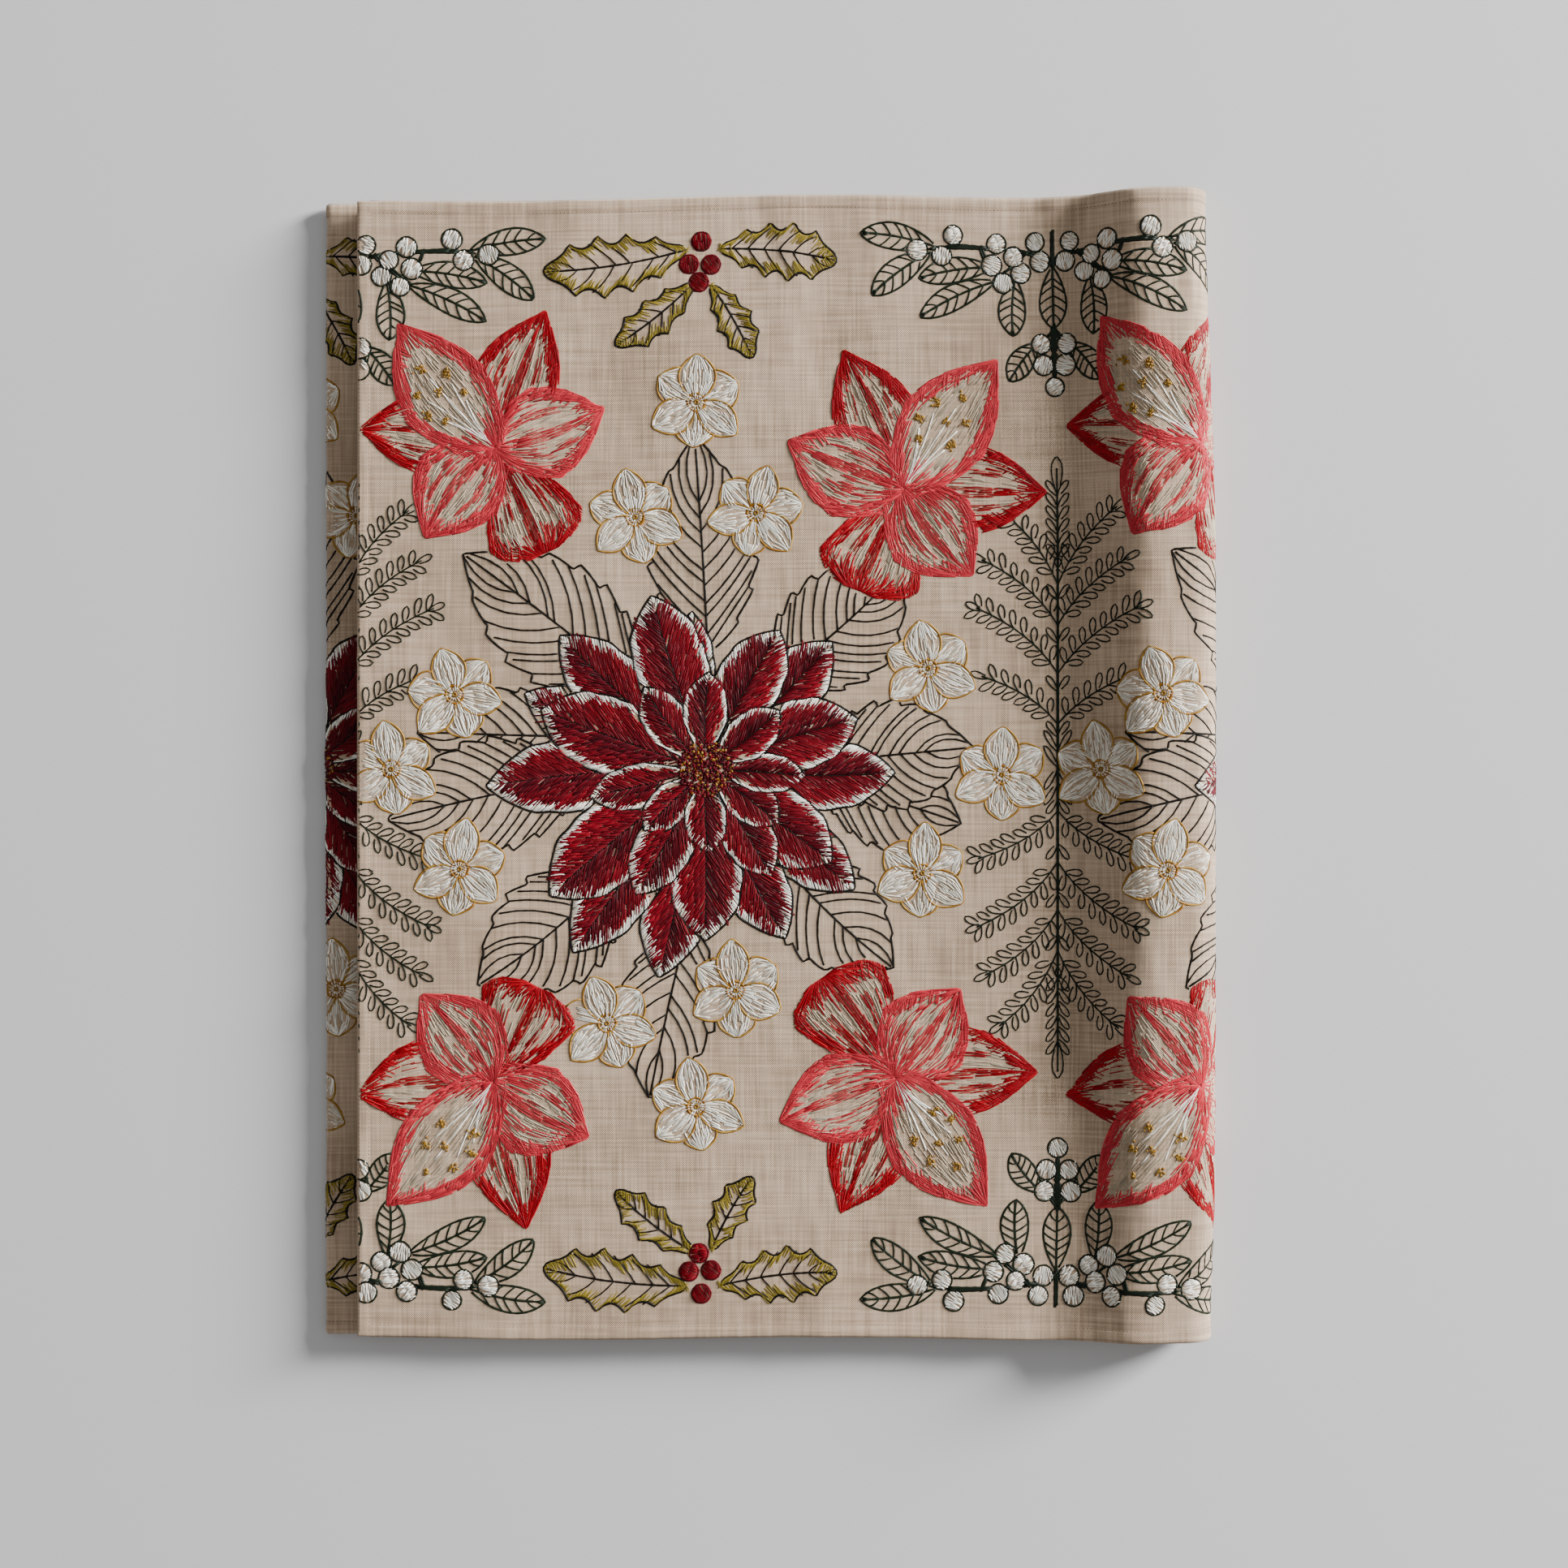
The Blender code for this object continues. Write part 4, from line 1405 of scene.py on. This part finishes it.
def stitches_in(name, zone):
    """The filling stitches of one colour in a zone: their ends in s and t, width, rise and tone."""
    rows = np.vstack(drawing().stitches[name] or [np.empty((0, 7))])
    sizes = cloth_sizes()
    found = []
    for k in REPEATS:
        shift = np.array([sizes.first_flower + k * sizes.repeat, 0])
        a, b = rows[:, 0:2] * MM + shift, rows[:, 2:4] * MM + shift
        middle = (a + b) / 2
        keep = zone.holds(middle[:, 0])
        for end in (a, b, middle):
            keep &= on_cloth(*end.T)
        found.append(np.column_stack([a, b, rows[:, 4:]])[keep])
    return np.vstack(found)


def lines_in(name, zone):
    """The outline stitches of one colour in a zone: points, width, tone, and what is linked."""
    rows = np.vstack(drawing().lines[name] or [np.empty((0, 5))])
    sizes = cloth_sizes()
    found = []
    for k in REPEATS:
        moved = rows.copy()
        moved[:, :2] = rows[:, :2] * MM + (sizes.first_flower + k * sizes.repeat, 0)
        middle = (moved[1:, :2] + moved[:-1, :2]) / 2
        keep = zone.holds(middle[:, 0]) & on_cloth(*middle.T)
        moved[:-1, 4] *= keep
        moved[-1:, 4] = 0
        found.append(moved)
    return np.vstack(found)


def embroider(name, zone):
    """All threads of one colour in a zone, as one piece."""
    settings = bpy.context.scene.runner_threads
    half = cloth_sizes().thickness / 2
    parts = []
    rows = stitches_in(name, zone)
    if len(rows):
        width = np.clip(rows[:, 4], 0.5, 3) * settings.width
        rise = rows[:, 5] * settings.rise * (0.8 + 0.4 * np.abs(np.sin(97 * np.arange(len(rows)))))
        base = np.full(len(rows), half)
        parts.append(spindle_mesh(rows[:, 0:2], rows[:, 2:4], width, rise, rows[:, 6], base))
    rows = lines_in(name, zone)
    linked = rows[:-1, 4] > 0.5
    if linked.any():
        width = rows[:, 2] * settings.line
        rise = np.full(len(rows), settings.line_rise)
        base = np.full(len(rows), half - SUNK)
        parts.append(line_mesh(rows[:, :2], width, rise, rows[:, 3], base, linked))
    if not parts:
        return None
    before = len(parts[0][0])
    parts[1:] = [(st, lift, faces + before, tone) for st, lift, faces, tone in parts[1:]]
    st, lift, triangles, tone = (np.concatenate(v) for v in zip(*parts))
    points = place(st[:, 0], st[:, 1], lift)
    piece = new_mesh(f"{name}_thread_{zone.name}", points, triangles, zone, st, thread(name), tone)
    return piece


class Stitching:
    """What every embroidery operator does: one piece of its colour in each zone."""

    bl_options = {"REGISTER"}
    thread_name = ""
    nodes = {}

    def execute(self, context):
        for zone in ZONES:
            piece = embroider(self.thread_name, zone)
            if piece is None:
                continue
            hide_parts(*self.nodes.get(zone.name, ()))
            zone.attach(piece)
        return {"FINISHED"}


class StitchCrimson(Stitching, bpy.types.Operator):
    """Hearts of the poinsettia petals and the holly berries"""

    bl_idname = "runner.stitch_crimson"
    bl_label = "Crimson thread"
    thread_name = "crimson"
    nodes = {
        "top": ("poinsettia",),
        "inner_bottom": ("inner_half_poinsettia", "inner_poinsettia"),
        "inner_top": ("last_poinsettia",),
    }


class StitchScarlet(Stitching, bpy.types.Operator):
    """Scarlet amaryllis petals"""

    bl_idname = "runner.stitch_scarlet"
    bl_label = "Scarlet thread"
    thread_name = "scarlet"
    nodes = {
        "top": tuple(f"amaryllis_{row}_{end}" for row in ("far", "near") for end in ("left", "right"))
    }


class StitchCoral(Stitching, bpy.types.Operator):
    """Coral amaryllis petals"""

    bl_idname = "runner.stitch_coral"
    bl_label = "Coral thread"
    thread_name = "coral"


class StitchPale(Stitching, bpy.types.Operator):
    """Pale threads inside the amaryllis petals"""

    bl_idname = "runner.stitch_pale"
    bl_label = "Pale thread"
    thread_name = "pale_green"


class StitchIvory(Stitching, bpy.types.Operator):
    """Narcissi, petal margins, filaments and white berries"""

    bl_idname = "runner.stitch_ivory"
    bl_label = "Ivory thread"
    thread_name = "ivory"
    nodes = {"top": tuple(f"narcissus_{i:02d}" for i in range(1, 13))}


class StitchGold(Stitching, bpy.types.Operator):
    """Anthers, flower hearts and the narcissus outlines"""

    bl_idname = "runner.stitch_gold"
    bl_label = "Gold thread"
    thread_name = "gold"


class StitchOlive(Stitching, bpy.types.Operator):
    """Margins of the holly leaves"""

    bl_idname = "runner.stitch_olive"
    bl_label = "Olive thread"
    thread_name = "olive"
    nodes = {"top": both("holly")}


class StitchDarkGreen(Stitching, bpy.types.Operator):
    """Fir sprigs, and the leaves and stems of the white-berried sprigs"""

    bl_idname = "runner.stitch_dark_green"
    bl_label = "Dark green thread"
    thread_name = "dark_green"
    nodes = {
        "top": both("fir_spray", "end_fir_spray", "mistletoe", "end_mistletoe"),
        "inner_bottom": both("inner_fir_spray", "inner_mistletoe"),
        "inner_top": both("last_fir_spray", "last_mistletoe"),
    }


class StitchInk(Stitching, bpy.types.Operator):
    """Outlines, veins and the sketched leaves"""

    bl_idname = "runner.stitch_ink"
    bl_label = "Ink thread"
    thread_name = "ink"


# Stage


class SetStage(bpy.types.Operator):
    """Pale table, soft window light and the camera straight above"""

    bl_idname = "runner.set_stage"
    bl_label = "Stage"

    def execute(self, context):
        scene = context.scene
        stage = scene.runner_stage
        table = bpy.data.meshes.new("table_top")
        size = 30.0
        corners = ((-size, -size), (size, -size), (size, size), (-size, size))
        table.from_pydata([(x, y, FLOOR_Z) for x, y in corners], [], [(0, 1, 2, 3)])
        floor = bpy.data.objects.new("table_top", table)
        scene.collection.objects.link(floor)
        made = Finish("table_paint")
        grain = made.node("TexNoise", Scale=9.0, Detail=2.0)
        pale = tuple(stage.floor)
        dimmer = tuple(0.985 * c for c in pale)
        made.set(Base_Color=made.mix(grain, dimmer, pale), Roughness=grain * 0.1 + 0.85)
        made.set(Specular_IOR_Level=0.1)
        table.materials.append(made.material)

        world = bpy.data.worlds.new("room")
        world.use_nodes = True
        background = world.node_tree.nodes["Background"]
        background.inputs["Color"].default_value = (1, 1, 1, 1)
        background.inputs["Strength"].default_value = stage.fill
        scene.world = world

        # Low and far to the right, so that the threads and the fold cast soft shadows
        self.lamp("window", (3.97, 1.77, 1.17), 1.3, stage.key)
        camera = bpy.data.objects.new("camera", bpy.data.cameras.new("camera"))
        camera.location = (0.0062, -0.0065, stage.height)
        camera.data.sensor_width = 36
        camera.data.lens = 36 * stage.height / stage.view
        scene.collection.objects.link(camera)
        scene.camera = camera
        return {"FINISHED"}

    def lamp(self, name, location, size, power):
        """A square lamp aimed at the middle of the table."""
        light = bpy.data.lights.new(name, "AREA")
        light.shape = "SQUARE"
        light.size = size
        light.energy = power
        made = bpy.data.objects.new(name, light)
        made.location = location
        x, y, z = location
        made.rotation_euler = (math.atan2(math.hypot(x, y), z), 0, math.atan2(x, -y))
        bpy.context.scene.collection.objects.link(made)


OPERATORS = (
    SetStage, WeaveCloth, SewHems, SewStitching, StitchCrimson, StitchScarlet, StitchCoral,
    StitchPale, StitchIvory, StitchGold, StitchOlive, StitchDarkGreen, StitchInk,
)


class RunnerPanel(bpy.types.Panel):
    """Lists what makes the runner"""

    bl_idname = "VIEW3D_PT_runner"
    bl_label = "Embroidered Runner"
    bl_space_type = "VIEW_3D"
    bl_region_type = "UI"
    bl_category = "Runner"

    def draw(self, context):
        for group in (context.scene.runner_cloth, context.scene.runner_threads,
                      context.scene.runner_stage):
            for name in group.bl_rna.properties.keys():
                if name not in ("rna_type", "name"):
                    self.layout.prop(group, name)
        for operator in OPERATORS:
            self.layout.operator(operator.bl_idname)


GROUPS = {
    "runner_cloth": ClothSizes,
    "runner_threads": ThreadSettings,
    "runner_stage": StageSettings,
}


def register():
    for made in (*GROUPS.values(), *OPERATORS, RunnerPanel):
        bpy.utils.register_class(made)
    for name, group in GROUPS.items():
        setattr(bpy.types.Scene, name, bpy.props.PointerProperty(type=group))


def unregister():
    for name in GROUPS:
        delattr(bpy.types.Scene, name)
    for made in (*GROUPS.values(), *OPERATORS, RunnerPanel):
        bpy.utils.unregister_class(made)


def main():
    register()
    for operator in OPERATORS:
        group, name = operator.bl_idname.split(".")
        getattr(getattr(bpy.ops, group), name)()
    declare_sheets()
    bpy.context.view_layer.update()


if __name__ == "__main__":
    main()
